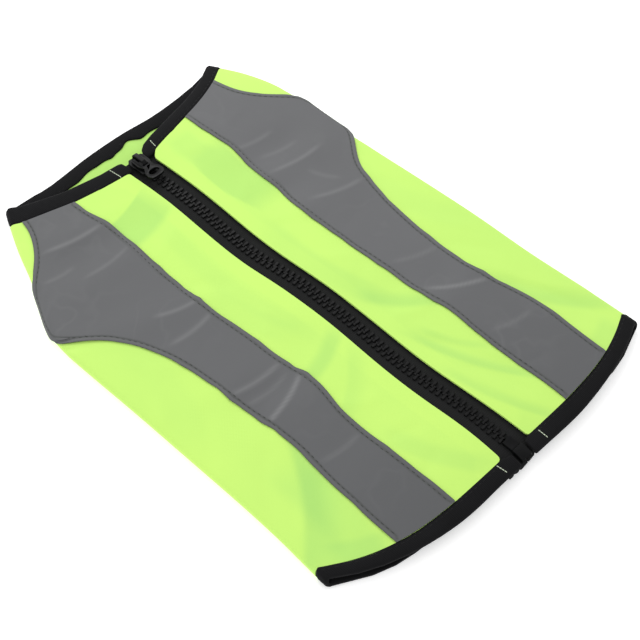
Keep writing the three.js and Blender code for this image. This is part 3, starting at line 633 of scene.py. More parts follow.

# %% [markdown]
# ## Creases
# Worn cloth isn't smooth: it has soft ridges and troughs where it was folded or where
# a stiff strip pulls on it. A noise texture makes them too even, so each is listed as
# a line with a height and a width. One table serves the panels and the strips
# that lie on them, so both move together and never touch.

# %% The crease table
# x0, y0, x1, y1, height and half width, all in millimetres.
BACK_CREASES = [
    (-60, -45.5, -32, -38, 0.22, 1.4), (-60, -24.5, -34, -28, 0.15, 1.4),
    (-60, -41, -36, -35, -0.16, 2.6), (-59, 12.6, -36, 11.8, 0.14, 1.4),
    (-54, 28, -35, 21, 0.14, 1.4), (-63, 92, -36, 84.5, 0.16, 1.6), (-60, 67, -36, 66, 0.09, 1.6),
    (-74, 79, -60, 76, 0.08, 1.6), (-56, 0, -40, 3, -0.1, 3.0), (-62, 84, -44, 79, -0.12, 2.4),
    (-56, -74, -36, -76, 0.07, 1.6), (-58, -94, -44, -98, 0.1, 2.4),
    (-58, -33, -36, -34, 0.08, 1.4), (-36, -110, -20, -104, -0.2, 3.2),
    (-30, -14, -18, -2, 0.16, 3.5), (-32, 30, -20, 16, -0.22, 4.0), (-33, 52, -14, 60, 0.2, 3.6),
    (-30, 90, -16, 84, 0.15, 3.0), (-32, -60, -18, -70, 0.2, 3.2),
    (-30, -86, -17, -92, -0.2, 2.8), (-60, -52, -84, -92, 0.35, 3.0),
    (-66, -50, -92, -88, -0.3, 3.4), (-62, -78, -80, -114, -0.3, 3.0),
    (-72, 10, -88, -14, 0.25, 4.0), (-60, 0, -78, 20, 0.15, 3.6), (-68, -20, -88, -44, -0.2, 3.6),
    (-74, 84, -66, 104, 0.2, 2.4), (39, -45, 63, -59, 0.22, 1.5), (38, -40, 56, -50, -0.14, 2.8),
    (42, 28, 68, 21.5, 0.14, 1.5), (41, 53, 70, 51, 0.15, 1.6), (38, 76, 60, 73.5, 0.1, 1.6),
    (54, 42, 61, 29, 0.09, 1.4), (44, 64, 64, 61, 0.08, 1.6), (42, 92, 62, 95, 0.1, 2.2),
    (36, 4, 56, 9, -0.1, 3.0), (40, -24, 62, -31, 0.09, 1.5), (42, -80, 62, -84, 0.08, 1.5),
    (40, -98, 62, -104, 0.1, 2.2), (18, 94, 33, 88, 0.15, 3.0), (17, 50, 34, 62, 0.2, 3.4),
    (18, 28, 33, 18, -0.2, 3.6), (18, 2, 32, -8, 0.2, 3.2), (18, -24, 32, -14, -0.16, 3.2),
    (18, -62, 33, -102, -0.35, 2.6), (22, -58, 36, -94, 0.25, 2.2),
    (17, -82, 30, -116, -0.3, 2.4), (17, -44, 34, -52, 0.25, 2.8),
    (66, -60, 84, -106, -0.35, 3.0), (70, -54, 90, -92, 0.25, 3.0), (66, -8, 86, -34, 0.2, 3.8),
    (68, 20, 84, 4, -0.16, 3.8), (64, -30, 80, -52, -0.2, 3.4), (74, 96, 80, 112, 0.16, 2.6),
]
print(len(BACK_CREASES), "creases, the highest", max(row[4] for row in BACK_CREASES), "mm")

# %% The painted shade table
# Painted shade: where the cloth lies lower or doubled, its colour is painted darker.
# x0, y0, x1, y1, depth of the painted shade, half width, and how softly each side ends, in mm.
PAINTED_SHADES = [
    (-42, 73, -8, 79.5, 0.5, 7.5, 1.5, 5), (28, 84, 29, 42, 0.4, 8.5, 3, 1.6),
    (26, 102, 27, 80, 0.2, 4, 5, 5), (-34, -43, -6, -33, 0.4, 1.2, 5, 3.5),
    (15, -27, 40, -54, 0.38, 0.6, 7, 4), (14, -56, 38, -110, 0.4, 0.3, 5, 2),
    (11, -80, 28, -128, 0.32, 0.3, 5, 2), (20, -58, 34, -84, 0.24, 0.3, 3, 2),
    (-54, -54, -98, -108, 0.45, 0.6, 15, 4), (62, -58, 92, -106, 0.34, 0.5, 9, 4),
    (-36, -66, -8, -44, 0.2, 0.4, 3, 8), (-30, -84, -10, -124, 0.22, 1.5, 6, 4),
    (-17, 66, -13, -30, 0.12, 2, 4, 5), (15, 30, 22, -34, 0.2, 3, 4, 7),
    (-30, 20, -20, -20, 0.12, 3, 5, 5), (-84, -104, -62, -118, 0.25, 3, 4, 4),
    (70, 30, 84, -30, 0.08, 3, 8, 6), (-70, 30, -84, -30, 0.06, 3, 6, 8),
    (60, -118, 84, -112, 0.25, 3, 5, 4), (-68, -66, -77, -124, 0.25, 5, 6, 8),
]
print(len(PAINTED_SHADES), "hollows")

# %% Heights and tones from the tables
BEND = 0.06                # how far a line bows out, as a share of its length
FADE = {"beyond": 0.15, "over": 0.35}      # how a line fades at its ends, in shares of it


def lines_sum(points, table, gain):
    """Adds up gain(row, distance from the row's bent line, fade at its ends) over a table."""
    x, y = points[:, 0] / MM, points[:, 1] / MM
    total = np.zeros(len(points))
    for row in table:
        x0, y0, x1, y1, height = row[:5]
        dx, dy = x1 - x0, y1 - y0
        length = math.hypot(dx, dy)
        t = ((x - x0) * dx + (y - y0) * dy) / length**2
        off = ((x - x0) * dy - (y - y0) * dx) / length
        bow = BEND * length * math.copysign(1, dx * height)
        bend = bow * np.sin(math.pi * np.clip(t, 0, 1))
        ends = (t + FADE["beyond"], 1 + FADE["beyond"] - t)
        fade = ramp(ends[0] / FADE["over"]) * ramp(ends[1] / FADE["over"])
        total += gain(row, off - bend, fade)
    return total


def crease_height(points, table):
    """The height of all the creases together at each point, in metres."""
    return lines_sum(points, table, lambda row, off, fade: row[4] * fade * bell(off / row[5])) * MM


SHARP, SHINE_HALF = 1.8, 1.1    # half widths of a sharp ridge and of its shine, in mm
BRIGHTEST = 0.22                # the height of the ridge that shines most, in mm


def crease_shine(points, table):
    """1 along each sharp ridge, where the reflective film was bent and a painted highlight goes, and 0
    elsewhere.
    """
    def gain(row, off, fade):
        return (row[4] > 0 and row[5] < SHARP) * fade * bell(off / SHINE_HALF) * row[4] / BRIGHTEST

    return np.clip(lines_sum(points, table, gain), 0, 1)


def painted_shade_tone(points):
    """How much painted shade the cloth gets at each point, from 0 to 1."""
    def gain(row, off, fade):
        depth, half, soft_left, soft_right = row[4:]
        soft = np.where(off < 0, soft_left, soft_right)
        return depth * fade * (1 - ramp((abs(off) - half) / soft))

    return np.clip(lines_sum(points, PAINTED_SHADES, gain), 0, 1)


STILL, STIRS_OVER = 0.5, 7     # mm from a bound edge without creases, and to full ones
TURNED, TURNS_OVER = -0.1, 0.6     # a normal's upward part at the end of the side's turn, and over it


def upward(normals):
    """1 where the cloth faces up, 0 where it has turned round the side."""
    return ramp((normals[:, 2] - TURNED) / TURNS_OVER)


def free_to_crease(rim, points, normals):
    """1 well inside a rim on the upper side, 0 at the rim and round the side."""
    return ramp((distance_to(rim, points) / MM - STILL) / STIRS_OVER) * upward(normals)


print("heights and tones are ready")

# %% Back panels
PANEL_WALL = 0.9           # mm
# Radius of each panel's corners at the zip, in mm.
ZIP_CORNERS = {
    ("left", "hem"): 2.0, ("left", "neck"): 1.2,
    ("right", "hem"): 1.2, ("right", "neck"): 4.5,
}
SIGNS = {"left": -1, "right": 1, "hem": -1, "neck": 1}
ZIP_EDGE_WITHIN = 11       # the edges along the zip lie nearer to the middle than this, in mm
FOLDED_UNDER, FOLD_ENDS_OVER = 7.0, 0.8    # doubled cloth by the zip, and its soft end, in mm
SINGLE_TONE = 0.07         # how much darker the single cloth beside it is, added to the painted shade value
panel_rims = {}
for hand in ("left", "right"):
    sign = SIGNS[hand]
    node = f"back_panel_{hand}"
    panel = keep_skin(copy_node(node, f"back_cloth_{hand}"), (sign * 30 * MM, 0, 10 * MM))
    refine(panel, 3, boundary_smooth="PRESERVE_CORNERS")
    rim = rim_points(panel)
    points, normals = points_of(panel)
    free = free_to_crease(rim, points, normals)
    points += normals * (crease_height(points, BACK_CREASES) * free)[:, None]
    for end in ("hem", "neck"):
        corner = corner_of(rim, (-sign, SIGNS[end]))
        for group in (points, rim):
            round_corner(group, corner, (sign, -SIGNS[end]), ZIP_CORNERS[hand, end])
    move_points(panel, points)
    zip_edge = rim[abs(rim[:, 0]) < ZIP_EDGE_WITHIN * MM]
    # The painted shade value: painted shade of the folds and hollows on the upper side, and a little
    # more on the single cloth beside the doubled edge.
    single = ramp((distance_to(zip_edge, points) / MM - FOLDED_UNDER) / FOLD_ENDS_OVER)
    painted_shade = painted_shade_tone(points) + SINGLE_TONE * single
    store(panel, "painted_shade", painted_shade * upward(normals))
    apply(panel, "SOLIDIFY", thickness=PANEL_WALL * MM, offset=-1, use_even_offset=True)
    smooth(panel)
    panel_rims[hand] = rim
    dress(panel, bright, "bright_cloth", node)

# %% [markdown]
# ## Reflective strips
# A strip is cut from glass-bead fabric and sewn on 2 mm inside each long edge. The
# thread presses a shallow groove, and the edge beyond it curls up a little. Where the
# thread gathers the cloth, the edge waves by less than a millimetre. These waves are
# listed one by one, like the creases, so no two are the same.

# %% Sizes of the strips
STRIP_DOWN = 0.7           # how far the fabric lies below the solid's outside, in mm
SIDE_PROUD = 0.6           # how much less it is let down where it turns round the side
STRIP_WALL = 0.35          # mm
STITCHES_IN = 2.1          # from the strip's edge to its stitches, in mm
GROOVE = {"deep": 0.13, "half": 0.45, "tone": 0.6}             # where the thread presses; its tone is painted shade
CURL = {"rise": 0.1, "at": 0.9, "half": 0.7, "tone": 0.45}     # the edge beyond it; its tone is the painted shade of the cut edge
WAVES_WITHIN = 4           # how far in from the edge its waves reach, in mm
EDGE_SHADE_WIDTH = 0.5             # how wide the painted shade along the cut edge is, in mm
DULL, SHINES_OVER = 2, 2   # mm from a strip's edge without shining creases, and to full shine
# Painted shade on the film: all over each side, and more and more towards the hem.
SIDE_SHADE, HEM_SHADE = {"left": 0.35, "right": 0.0}, {"tone": 0.6, "from": -20, "over": 90}
# y, half width and outward shift of each wave of an edge, in mm.
EDGE_WAVES = {
    ("left", "inner"): [
        (96, 5, -0.5), (84, 4, 0.45), (71, 5, -0.35), (47, 4, 0.4), (30, 3, -0.3),
        (21, 2, 0.5), (9, 5, -0.3), (-14, 4, 0.3), (-34, 2.2, -0.5), (-40, 2.5, 0.5),
        (-62, 5, -0.3), (-88, 4, 0.3), (-104, 4, -0.25),
    ],
    ("left", "outer"): [
        (90, 3, 0.3), (24, 5, -0.3), (2, 4, 0.3), (-18, 3, -0.4), (-26, 2.5, 0.4),
        (-43, 3, 0.35), (-49, 2.5, -0.4), (-70, 5, 0.25), (-96, 5, -0.3),
    ],
    ("right", "inner"): [
        (98, 4, 0.3), (80, 4, -0.4), (66, 4, 0.35), (44, 5, -0.25), (20, 4, 0.3),
        (2, 4, -0.35), (-20, 4, 0.4), (-44, 3, -0.4), (-52, 3, 0.4), (-80, 5, -0.25),
        (-100, 4, 0.25),
    ],
    ("right", "outer"): [
        (96, 4, -0.3), (20, 4, 0.35), (4, 4, -0.3), (-24, 4, 0.3), (-46, 3, -0.35),
        (-55, 2.5, 0.45), (-62, 3, -0.3), (-92, 5, 0.25),
    ],
}
INNER_EDGE_WITHIN = 48     # the inner edges lie nearer to the middle than this, in mm


def edge_wave(table, along):
    """The outward shift of an edge, in mm, at each place along it."""
    return sum(shift * bell((along / MM - at) / half) for at, half, shift in table)


print(sum(len(rows) for rows in EDGE_WAVES.values()), "waves along the strips' edges")

# %% Strips
strips = {}
strip_edges = {}
for hand in ("left", "right"):
    sign = SIGNS[hand]
    node = f"reflective_strip_{hand}"
    strip = keep_skin(copy_node(node, f"silver_strip_{hand}"), (sign * 45 * MM, 0, 10 * MM))
    refine(strip, 3, boundary_smooth="PRESERVE_CORNERS")
    points, normals = points_of(strip)
    rim = rim_points(strip)
    bound = distance_to(panel_rims[hand], rim) < 2 * MM
    inner_rim = rim[~bound & (abs(rim[:, 0]) < INNER_EDGE_WITHIN * MM)]
    outer_rim = rim[~bound & (abs(rim[:, 0]) > INNER_EDGE_WITHIN * MM)]
    near = {"inner": distance_to(inner_rim, points) / MM, "outer": distance_to(outer_rim, points) / MM}
    inward = np.minimum(near["inner"], near["outer"])
    free = free_to_crease(panel_rims[hand], points, normals)
    groove = bell((inward - STITCHES_IN) / GROOVE["half"])
    sewn = CURL["rise"] * bell((inward - CURL["at"]) / CURL["half"]) - GROOVE["deep"] * groove
    # Painted shade along the cut edge and in the groove where the thread presses.
    painted_edge_shade = CURL["tone"] * (1 - ramp(inward / EDGE_SHADE_WIDTH))
    to_hem = ramp((HEM_SHADE["from"] - points[:, 1] / MM) / HEM_SHADE["over"])
    # Painted highlight along sharp crease ridges, away from the strip's edges.
    shine = crease_shine(points, BACK_CREASES) * free * ramp((inward - DULL) / SHINES_OVER)
    store(strip, "crease", shine)
    store(strip, "edge", np.maximum(GROOVE["tone"] * groove, painted_edge_shade))
    # Painted shade, over the left strip and towards the hem.
    store(strip, "painted_shade", SIDE_SHADE[hand] + HEM_SHADE["tone"] * to_hem)
    crease = crease_height(points, BACK_CREASES) * free
    down = STRIP_DOWN - SIDE_PROUD * ramp((0.9 - normals[:, 2]) / 0.35)
    points += normals * (crease + (sewn - down) * MM)[:, None]
    for edge, out in (("inner", -sign), ("outer", sign)):
        wave = edge_wave(EDGE_WAVES[hand, edge], points[:, 1]) * bell(near[edge] / WAVES_WITHIN)
        points[:, 0] += out * wave * free * MM
    move_points(strip, points)
    strip_edges[hand] = (inner_rim, outer_rim)
    apply(strip, "SOLIDIFY", thickness=STRIP_WALL * MM, offset=-1, use_even_offset=True)
    smooth(strip)
    strips[hand] = dress(strip, silver, "reflective_cloth", node)

# %% [markdown]
# ## Belly panel
# The belly panel lies flat under the back, with an oval hole for each front leg. Its
# solid is one flat outline, so the copy is cut into a grid with many bisects. That
# keeps the outline and the holes exact and gives points for a few creases. They only
# rise, because the panel is flat where it rests. At the neck, its edge buckles.

# %% Sizes of the belly panel
BELLY_CREASES = [
    (-50, -100, -20, -70, 0.5, 5), (10, -90, 48, -60, 0.45, 4.5), (-40, -30, 5, -12, 0.4, 5),
    (20, -20, 60, 6, 0.45, 4), (-16, 30, 12, 64, 0.4, 5), (-30, 92, 4, 84, 0.45, 4.5),
    (22, 96, 52, 86, 0.4, 4), (-62, 0, -44, 8, 0.4, 4), (30, -112, 62, -104, 0.35, 4),
    (-12, -60, 20, -44, 0.35, 5), (8, 96, 13, 124, 0.8, 3.5), (-22, 98, -18, 122, 0.4, 3.5),
]
# x, half width and shift towards the neck of each buckle in the belly's neck edge, in mm.
NECK_BUCKLES = [
    (-22, 3.5, -0.5), (-14, 3.5, 0.6), (0, 2.6, -1.0), (12, 3.6, 2.4), (18.5, 2.2, -0.9), (25, 3, 0.4),
]
BUCKLE_REACH = 14          # how far in from the neck edge the buckles reach, in mm
NECK_FROM = 105            # the neck edge lies beyond this, in mm
BELLY_WALL, GRID_STEP = 1.0, 5.0           # mm
SLIVER = 0.05              # points nearer than this are merged, in mm
RISES_OVER = 8             # mm from the rim to the creases' full height
# Painted shade on the belly, which lies under the back: all over, and more inside the neck.
BELLY_SHADE, NECK_SHADE = 0.2, {"tone": 0.3, "from": 60, "over": 60}
print(len(BELLY_CREASES), "creases and", len(NECK_BUCKLES), "buckles")

# %% Cutting a grid, and the neck's buckles


def cut_grid(piece, low, high, step, axes=(0, 1)):
    """Cuts the piece along planes a step apart, with the bisect tool."""
    edit(piece)
    for axis in axes:
        normal = [float(axis == k) for k in range(3)]
        for i in range(1, int((high[axis] - low[axis]) / (step * MM)) + 1):
            place = [0, 0, 0]
            place[axis] = low[axis] + i * step * MM
            bpy.ops.mesh.select_all(action="SELECT")
            bpy.ops.mesh.bisect(plane_co=place, plane_no=normal, threshold=0.001 * MM)
    bpy.ops.mesh.select_all(action="SELECT")
    bpy.ops.mesh.remove_doubles(threshold=SLIVER * MM)
    done()


def neck_buckle(points, edge_y):
    """Moves the points near the belly's neck edge by the buckles, less and less inwards."""
    shift = edge_wave(NECK_BUCKLES, points[:, 0]) * MM
    points[:, 1] += shift * ramp(1 - (edge_y - points[:, 1]) / (BUCKLE_REACH * MM))


print("the grid's step is", GRID_STEP, "mm")

# %% Belly
belly = keep_skin(copy_node("belly_panel", "belly_cloth"), (0, 0, 0), up=-1)
edit(belly)
bpy.ops.mesh.dissolve_limited(angle_limit=0.001)
done()
low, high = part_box("belly_panel")
cut_grid(belly, low, high, GRID_STEP)
refine(belly, 2, subdivision_type="SIMPLE")
rim = rim_points(belly)
points, _ = points_of(belly)
inside = ramp(distance_to(rim, points) / MM / RISES_OVER)
points[:, 2] += np.maximum(crease_height(points, BELLY_CREASES), 0) * inside
belly_neck = ordered(rim[rim[:, 1] > NECK_FROM * MM], 0).T[:2]
neck_buckle(points, np.interp(points[:, 0], *belly_neck))
move_points(belly, points)
# Painted shade on the belly, growing towards the neck.
to_neck = ramp((points[:, 1] / MM - NECK_SHADE["from"]) / NECK_SHADE["over"])
store(belly, "painted_shade", BELLY_SHADE + NECK_SHADE["tone"] * to_neck)
apply(belly, "SOLIDIFY", thickness=BELLY_WALL * MM, offset=-1)
smooth(belly)
dress(belly, bright, "bright_cloth", "belly_panel")

# %% [markdown]
# ## Bindings
# The raw edges of the neck and the hem are wrapped in one black tape each, folded over
# the edge and sewn along its inner side. A curve with a bevel could follow the edge,
# but it can't turn round the flat side folds. So the solid's closed band is copied,
# its edges are rounded with Bevel, and bisects give it points along its length. Its
# sewn edge laps a little over the cloth and wanders, as hand-fed tape does.

# %% Sizes of the bindings
SIDE_Z = 2.6               # height of the side fold's middle, in mm
LAP = 0.45                 # how far the sewn edge laps over the cloth, in mm
LAP_RISE = 0.12            # how much the lapped edge rises for each mm that it laps
LAP_FULL, LAP_OVER = 0.3, 4    # mm from the cloth's rim with a full lap, and to none
TURN_RUN = 3               # the tape's run round a side fold, in mm
TAPE_WIDE = 6.0            # mm
BAND_STEP, CORNER_STEP, CORNER_REACH = 4.0, 1.0, 6.0       # mm between cuts, fine by the zip
# x, half width and outward shift of each place where the hem's tape is wider, in mm.
HEM_FULL = [(-30, 22, 1.35), (32, 23, 1.6), (4, 14, 0.8)]
# x, half width and shift of each wave of the sewn edge, in mm.
TAPE_WAVES = {
    "neck": [
        (-58, 3, 0.2), (-49, 2.5, -0.2), (-38, 4, 0.25), (-30, 2.5, -0.2), (-21, 3, 0.3),
        (-13, 2, -0.25), (11, 2, 0.25), (18, 3, -0.2), (27, 3, 0.3), (36, 2.5, -0.25),
        (47, 4, 0.2), (58, 3, -0.2), (68, 3, 0.2),
    ],
    "hem": [
        (-84, 3, 0.2), (-73, 4, -0.2), (-62, 3, 0.3), (-51, 2.5, -0.2), (-40, 4, 0.2),
        (-28, 3, -0.25), (-18, 3, 0.2), (14, 2.5, -0.2), (24, 4, 0.3), (37, 3, -0.2),
        (48, 3, 0.25), (60, 4, -0.25), (75, 4, 0.2),
    ],
}
# x of each band's two ends at the zip, and the radius of each end's corner, in mm.
ZIP_ENDS = {"neck": ((-4.1, 6.6), (2.5, 4.5)), "hem": ((0.2, 8.9), (1.0, 0.8))}
TIP_WITHIN = 4             # an end's corner lies nearer to its x than this, in mm
print(sum(len(rows) for rows in TAPE_WAVES.values()), "waves along the tapes' sewn edges")

# %% Neck and hem bindings


def tape_run(points):
    """The length along a tape that runs across the top, turns and comes back below."""
    x, z = points[:, 0], points[:, 2]
    edge = np.abs(x).max()
    return np.where(z > SIDE_Z * MM, x, np.sign(x) * (2 * edge + TURN_RUN * MM - np.abs(x)))


def bind(end):
    """A bound edge: the solid's band with round edges, a lapped side and round ends."""
    ends, radii = [x * MM for x in ZIP_ENDS[end][0]], ZIP_ENDS[end][1]
    away = SIGNS[end]
    node = f"{end}_binding"
    band = copy_node(node, f"{end}_tape")
    to_quads(band, 80, 120)
    round_edges(band, 0.4, 50)
    low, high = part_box(node)
    cut_grid(band, low, high, BAND_STEP, axes=(0,))
    for x in ends:
        span = [(x + side * CORNER_REACH * MM, 0, 0) for side in (-1, 1)]
        cut_grid(band, *span, CORNER_STEP, axes=(0,))
    refine(band, 1, subdivision_type="SIMPLE")
    points, _ = points_of(band)
    sewn = np.concatenate(list(panel_rims.values()))
    near = ramp(1 - (distance_to(sewn, points) / MM - LAP_FULL) / LAP_OVER)
    above = points[:, 2] > SIDE_Z * MM
    lap = (edge_wave(TAPE_WAVES[end], points[:, 0]) + LAP) * MM * near * above
    points[:, 1] -= away * lap
    points[:, 2] += LAP_RISE * lap
    if end == "hem":
        outwards = ramp(distance_to(sewn, points) / MM / TAPE_WIDE)
        points[:, 1] -= above * outwards * edge_wave(HEM_FULL, points[:, 0]) * MM
    if end == "neck":
        from_edge = points[:, 1] - np.interp(points[:, 0], *belly_neck)
        inwards = ramp(1 - from_edge / (TAPE_WIDE * MM))
        shift = edge_wave(NECK_BUCKLES, points[:, 0]) - LAP
        points[:, 1] += ~above * shift * MM * inwards
    for x, radius, inward in zip(ends, radii, (-1, 1)):
        own = above & ((points[:, 0] - sum(ends) / 2) * inward > 0)
        tip = points[own]
        corner = corner_of(tip[abs(tip[:, 0] - x) < TIP_WITHIN * MM], (-inward, away))
        round_corner(tip, corner, (inward, -away), radius)
        points[own] = tip
    move_points(band, points)
    store(band, "run", tape_run(points))
    smooth(band, 50)
    return dress(band, binding_cloth, "binding_tape", node)


neck_tape = bind("neck")
hem_tape = bind("hem")

# %% [markdown]
# ## Leg bindings
# Each leg hole is bound with the same tape. A circle is stretched to the hole's oval,
# its edge is extruded and stretched again to the tape's outer oval, and Solidify and
# Bevel give the flat ring its height and its soft edges.

# %% Leg bindings
RINGS = 6                  # extruded rings across the tape
STITCH_RING = 5            # the ring that the thread presses in
PRESSED = 0.3              # how far it is pressed in, in mm
ON_RING = 0.012            # points this near to the ring are pressed, as a share of the oval


def leg_ring(node, name):
    """The bound edge of a leg hole, from a circle."""
    low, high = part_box(node)
    centre = (low + high) / 2
    outer = (high - low) / 2
    inner = (outer.x - TAPE_WIDE * MM, outer.y - TAPE_WIDE * MM)
    middle = (centre.x, centre.y, high.z)
    bpy.ops.object.select_all(action="DESELECT")
    bpy.ops.mesh.primitive_circle_add(vertices=96, radius=1, location=middle)
    ring = bpy.context.object
    ring.name = name
    edit(ring, "EDGE")
    bpy.ops.transform.resize(value=(inner[0], inner[1], 1), center_override=middle)
    for part in range(RINGS):
        step = TAPE_WIDE / RINGS * MM
        grow = [(inner[k] + (part + 1) * step) / (inner[k] + part * step) for k in (0, 1)]
        bpy.ops.mesh.extrude_region_move()
        bpy.ops.transform.resize(value=(grow[0], grow[1], 1), center_override=middle)
    done_outwards()
    bpy.ops.object.transform_apply(location=True, rotation=True, scale=True)
    if ring.data.polygons[0].normal.z < 0:
        edit(ring)
        bpy.ops.mesh.flip_normals()
        done()
    apply(ring, "SOLIDIFY", thickness=high.z - low.z, offset=-1)
    points, _ = points_of(ring)
    across = np.hypot((points[:, 0] - centre.x) / outer.x, (points[:, 1] - centre.y) / outer.y)
    stitched = 1 - (RINGS - STITCH_RING) / RINGS * TAPE_WIDE * MM / outer.x
    pressed = abs(across - stitched) < ON_RING
    points[:, 2] += np.where(points[:, 2] > centre.z, -1, 1) * pressed * PRESSED * MM
    move_points(ring, points)
    round_edges(ring, 0.5, 50, segments=3)
    points, _ = points_of(ring)
    turn = np.arctan2((points[:, 1] - centre.y) / outer.y, (points[:, 0] - centre.x) / outer.x)
    store(ring, "run", turn * (outer.x + outer.y) / 2)
    smooth(ring, 50)
    return dress(ring, binding_cloth, "binding_tape", node)


leg_tapes = [leg_ring(f"leg_binding_{hand}", f"leg_tape_{hand}") for hand in ("left", "right")]

# %% [markdown]
# ## Zip tapes
# The teeth are moulded onto two woven tapes. Their solids have the right shape, so the
# copies only reach on to the teeth's middle, get soft edges and keep a count along
# their length for the weave. Their cut lower ends are a little ragged.

# %% The zip's own line
TAPE_FROM_LINE, TAPE_BELOW = 3.25, 2.0     # where the tapes' inner edges lie, in mm
corners = np.array([v.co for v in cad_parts["zip_tape_left"].data.vertices]) / MM
edge_y = np.unique(corners[:, 1].round(1))
edge_x, edge_z = [], []
for y in edge_y:
    section = corners[abs(corners[:, 1] - y) < 0.1]
    inner = section[section[:, 0] > section[:, 0].max() - 0.2]
    edge_x.append(inner[:, 0].max() + TAPE_FROM_LINE)
    edge_z.append(inner[:, 2].max() + TAPE_BELOW)


def zip_line(y):
    """The zip's sideways place and top height, in mm, at a place along the vest."""
    return np.interp(y, edge_y, edge_x), np.interp(y, edge_y, edge_z)


print("the zip's line at the hem and the neck:", [round(float(zip_line(y)[0]), 2) for y in (-120, 100)])

# %% Zip tapes
MEET = 0.35                # how near to the zip's line the tapes reach, in mm
WEAVE_STEP = 1.0           # mm between cuts
INNER_BAND, END_BAND = 0.5, 1      # how much of the inner edge and of the lower end moves, in mm
# x from the line, half width and length of each notch or tuft at the lower ends, in mm.
RAGGED = [
    (-8.2, 0.5, -0.5), (-6.8, 0.45, 0.35), (-5.6, 0.3, -0.4), (-4.6, 0.5, 0.3), (-3.4, 0.35, -0.35),
    (7.5, 4.5, -1.5), (4.4, 0.4, 0.3), (6.0, 0.5, 0.25), (7.2, 0.3, -0.3),
]
for hand in ("left", "right"):
    sign = SIGNS[hand]
    node = f"zip_tape_{hand}"
    tape = copy_node(node, f"woven_tape_{hand}")
    to_quads(tape, 80, 120)
    refine(tape, 1, subdivision_type="SIMPLE")
    low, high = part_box(node)
    cut_grid(tape, low, high, WEAVE_STEP, axes=(0,))
    points, _ = points_of(tape)
    line, _ = zip_line(points[:, 1] / MM)
    from_line = (points[:, 0] / MM - line) * sign
    reach = ramp(1 - (from_line - TAPE_FROM_LINE) / INNER_BAND)
    points[:, 0] -= sign * reach * (TAPE_FROM_LINE - MEET) * MM
    lowest = points[:, 1].min()
    shift = sum(long * bell((points[:, 0] / MM - line - at) / wide) for at, wide, long in RAGGED)
    points[:, 1] -= shift * MM * (points[:, 1] < lowest + END_BAND * MM)
    move_points(tape, points)
    round_edges(tape, 0.15, 60, segments=1)
    points, _ = points_of(tape)
    store(tape, "run", points[:, 1].copy())
    smooth(tape)
    dress(tape, zip_cloth, "zip_cloth", node)

# %% [markdown]
# ## Zip teeth
# Each tooth is a small moulded block that grips the tape's edge and has a broad head
# that locks between two teeth of the other side. One tooth is shaped from a cube and
# copied along the zip's slightly swaying line. An Array along a curve would do it too,
# but plain copies keep their size and stay upright.

# %% One tooth
# The pattern tooth points along +X. Its foot starts at the origin. Sizes are in mm, and
# narrow, low and broad are shares of the foot's width and height.
TOOTH = {
    "foot": 1.7, "neck": 0.7, "head": 1.1, "wide": 1.5, "tall": 2.3,
    "narrow": 0.62, "low": 0.85, "broad": 1.9,
}
bpy.ops.object.select_all(action="DESELECT")
bpy.ops.mesh.primitive_cube_add(size=1)
tooth = bpy.context.object
tooth.name = "pattern_tooth"
edit(tooth)
bpy.ops.transform.resize(value=(TOOTH["foot"] * MM, TOOTH["wide"] * MM, TOOTH["tall"] * MM))
bpy.ops.transform.translate(value=(TOOTH["foot"] / 2 * MM, 0, 0))
done()
edit(tooth, select=lambda face: face.normal.x > 0.9)
reach = TOOTH["foot"]
for part, wide, tall in (("neck", TOOTH["narrow"], TOOTH["low"]), ("head", TOOTH["broad"], 1)):
    reach += TOOTH[part]
    bpy.ops.mesh.extrude_region_move(TRANSFORM_OT_translate={"value": (TOOTH[part] * MM, 0, 0)})
    bpy.ops.transform.resize(value=(1, wide, tall), center_override=(reach * MM, 0, 0))
done()
round_edges(tooth, 0.22, 50, segments=1)
print("one tooth:", len(tooth.data.polygons), "faces")

# %% Helpers that repeat a piece


def copies(pattern, places, name):
    """Copies a pattern piece to each 4 by 4 matrix, then joins the copies to one piece."""
    bpy.ops.object.select_all(action="DESELECT")
    for matrix in places:
        piece = bpy.data.objects.new(name, pattern.data.copy())
        bpy.context.collection.objects.link(piece)
        piece.matrix_world = Matrix(matrix.tolist())
        piece.select_set(True)
    bpy.context.view_layer.objects.active = piece
    bpy.context.view_layer.update()
    bpy.ops.object.join()
    bpy.ops.object.transform_apply(location=True, rotation=True, scale=True)
    piece.name = name
    return piece


def matrix_from(along, up, place):
    """A matrix whose X axis runs along and whose Z axis points nearly up."""
    along = along / np.linalg.norm(along)
    side = np.cross(up, along)
    side /= np.linalg.norm(side)
    matrix = np.eye(4)
    matrix[:3, 0], matrix[:3, 1], matrix[:3, 2] = along, side, np.cross(along, side)
    matrix[:3, 3] = place
    return matrix


print("repeat helpers are ready")

# %% Rows of teeth
PITCH = 3.0                # mm between teeth of one side
FIRST_TOOTH, LAST_TOOTH = -118.2, 94.0
FOOT_FROM_LINE = 2.85      # mm
TEETH_BELOW = 2.25         # from the back's crest down to the teeth's middle, in mm
UP = np.array([0.0, 0.0, 1.0])
for hand in ("left", "right"):
    sign = SIGNS[hand]
    places = []
    start = FIRST_TOOTH + (0 if hand == "left" else PITCH / 2)
    for y in np.arange(start, LAST_TOOTH, PITCH):
        x, top = zip_line(y)
        slope = (zip_line(y + 2)[0] - zip_line(y - 2)[0]) / 4
        towards = np.array([-sign, sign * slope, 0.0])
        foot = np.array([x + sign * FOOT_FROM_LINE, y, top - TEETH_BELOW]) * MM
        places.append(matrix_from(towards, UP, foot))
    print(len(places), "teeth on the", hand)
    row = copies(tooth, places, f"zip_teeth_{hand}")
    smooth(row, 35)
    dress(row, tooth_plastic, "zip_plastic", f"zip_chain_{hand}")
bpy.data.objects.remove(tooth)

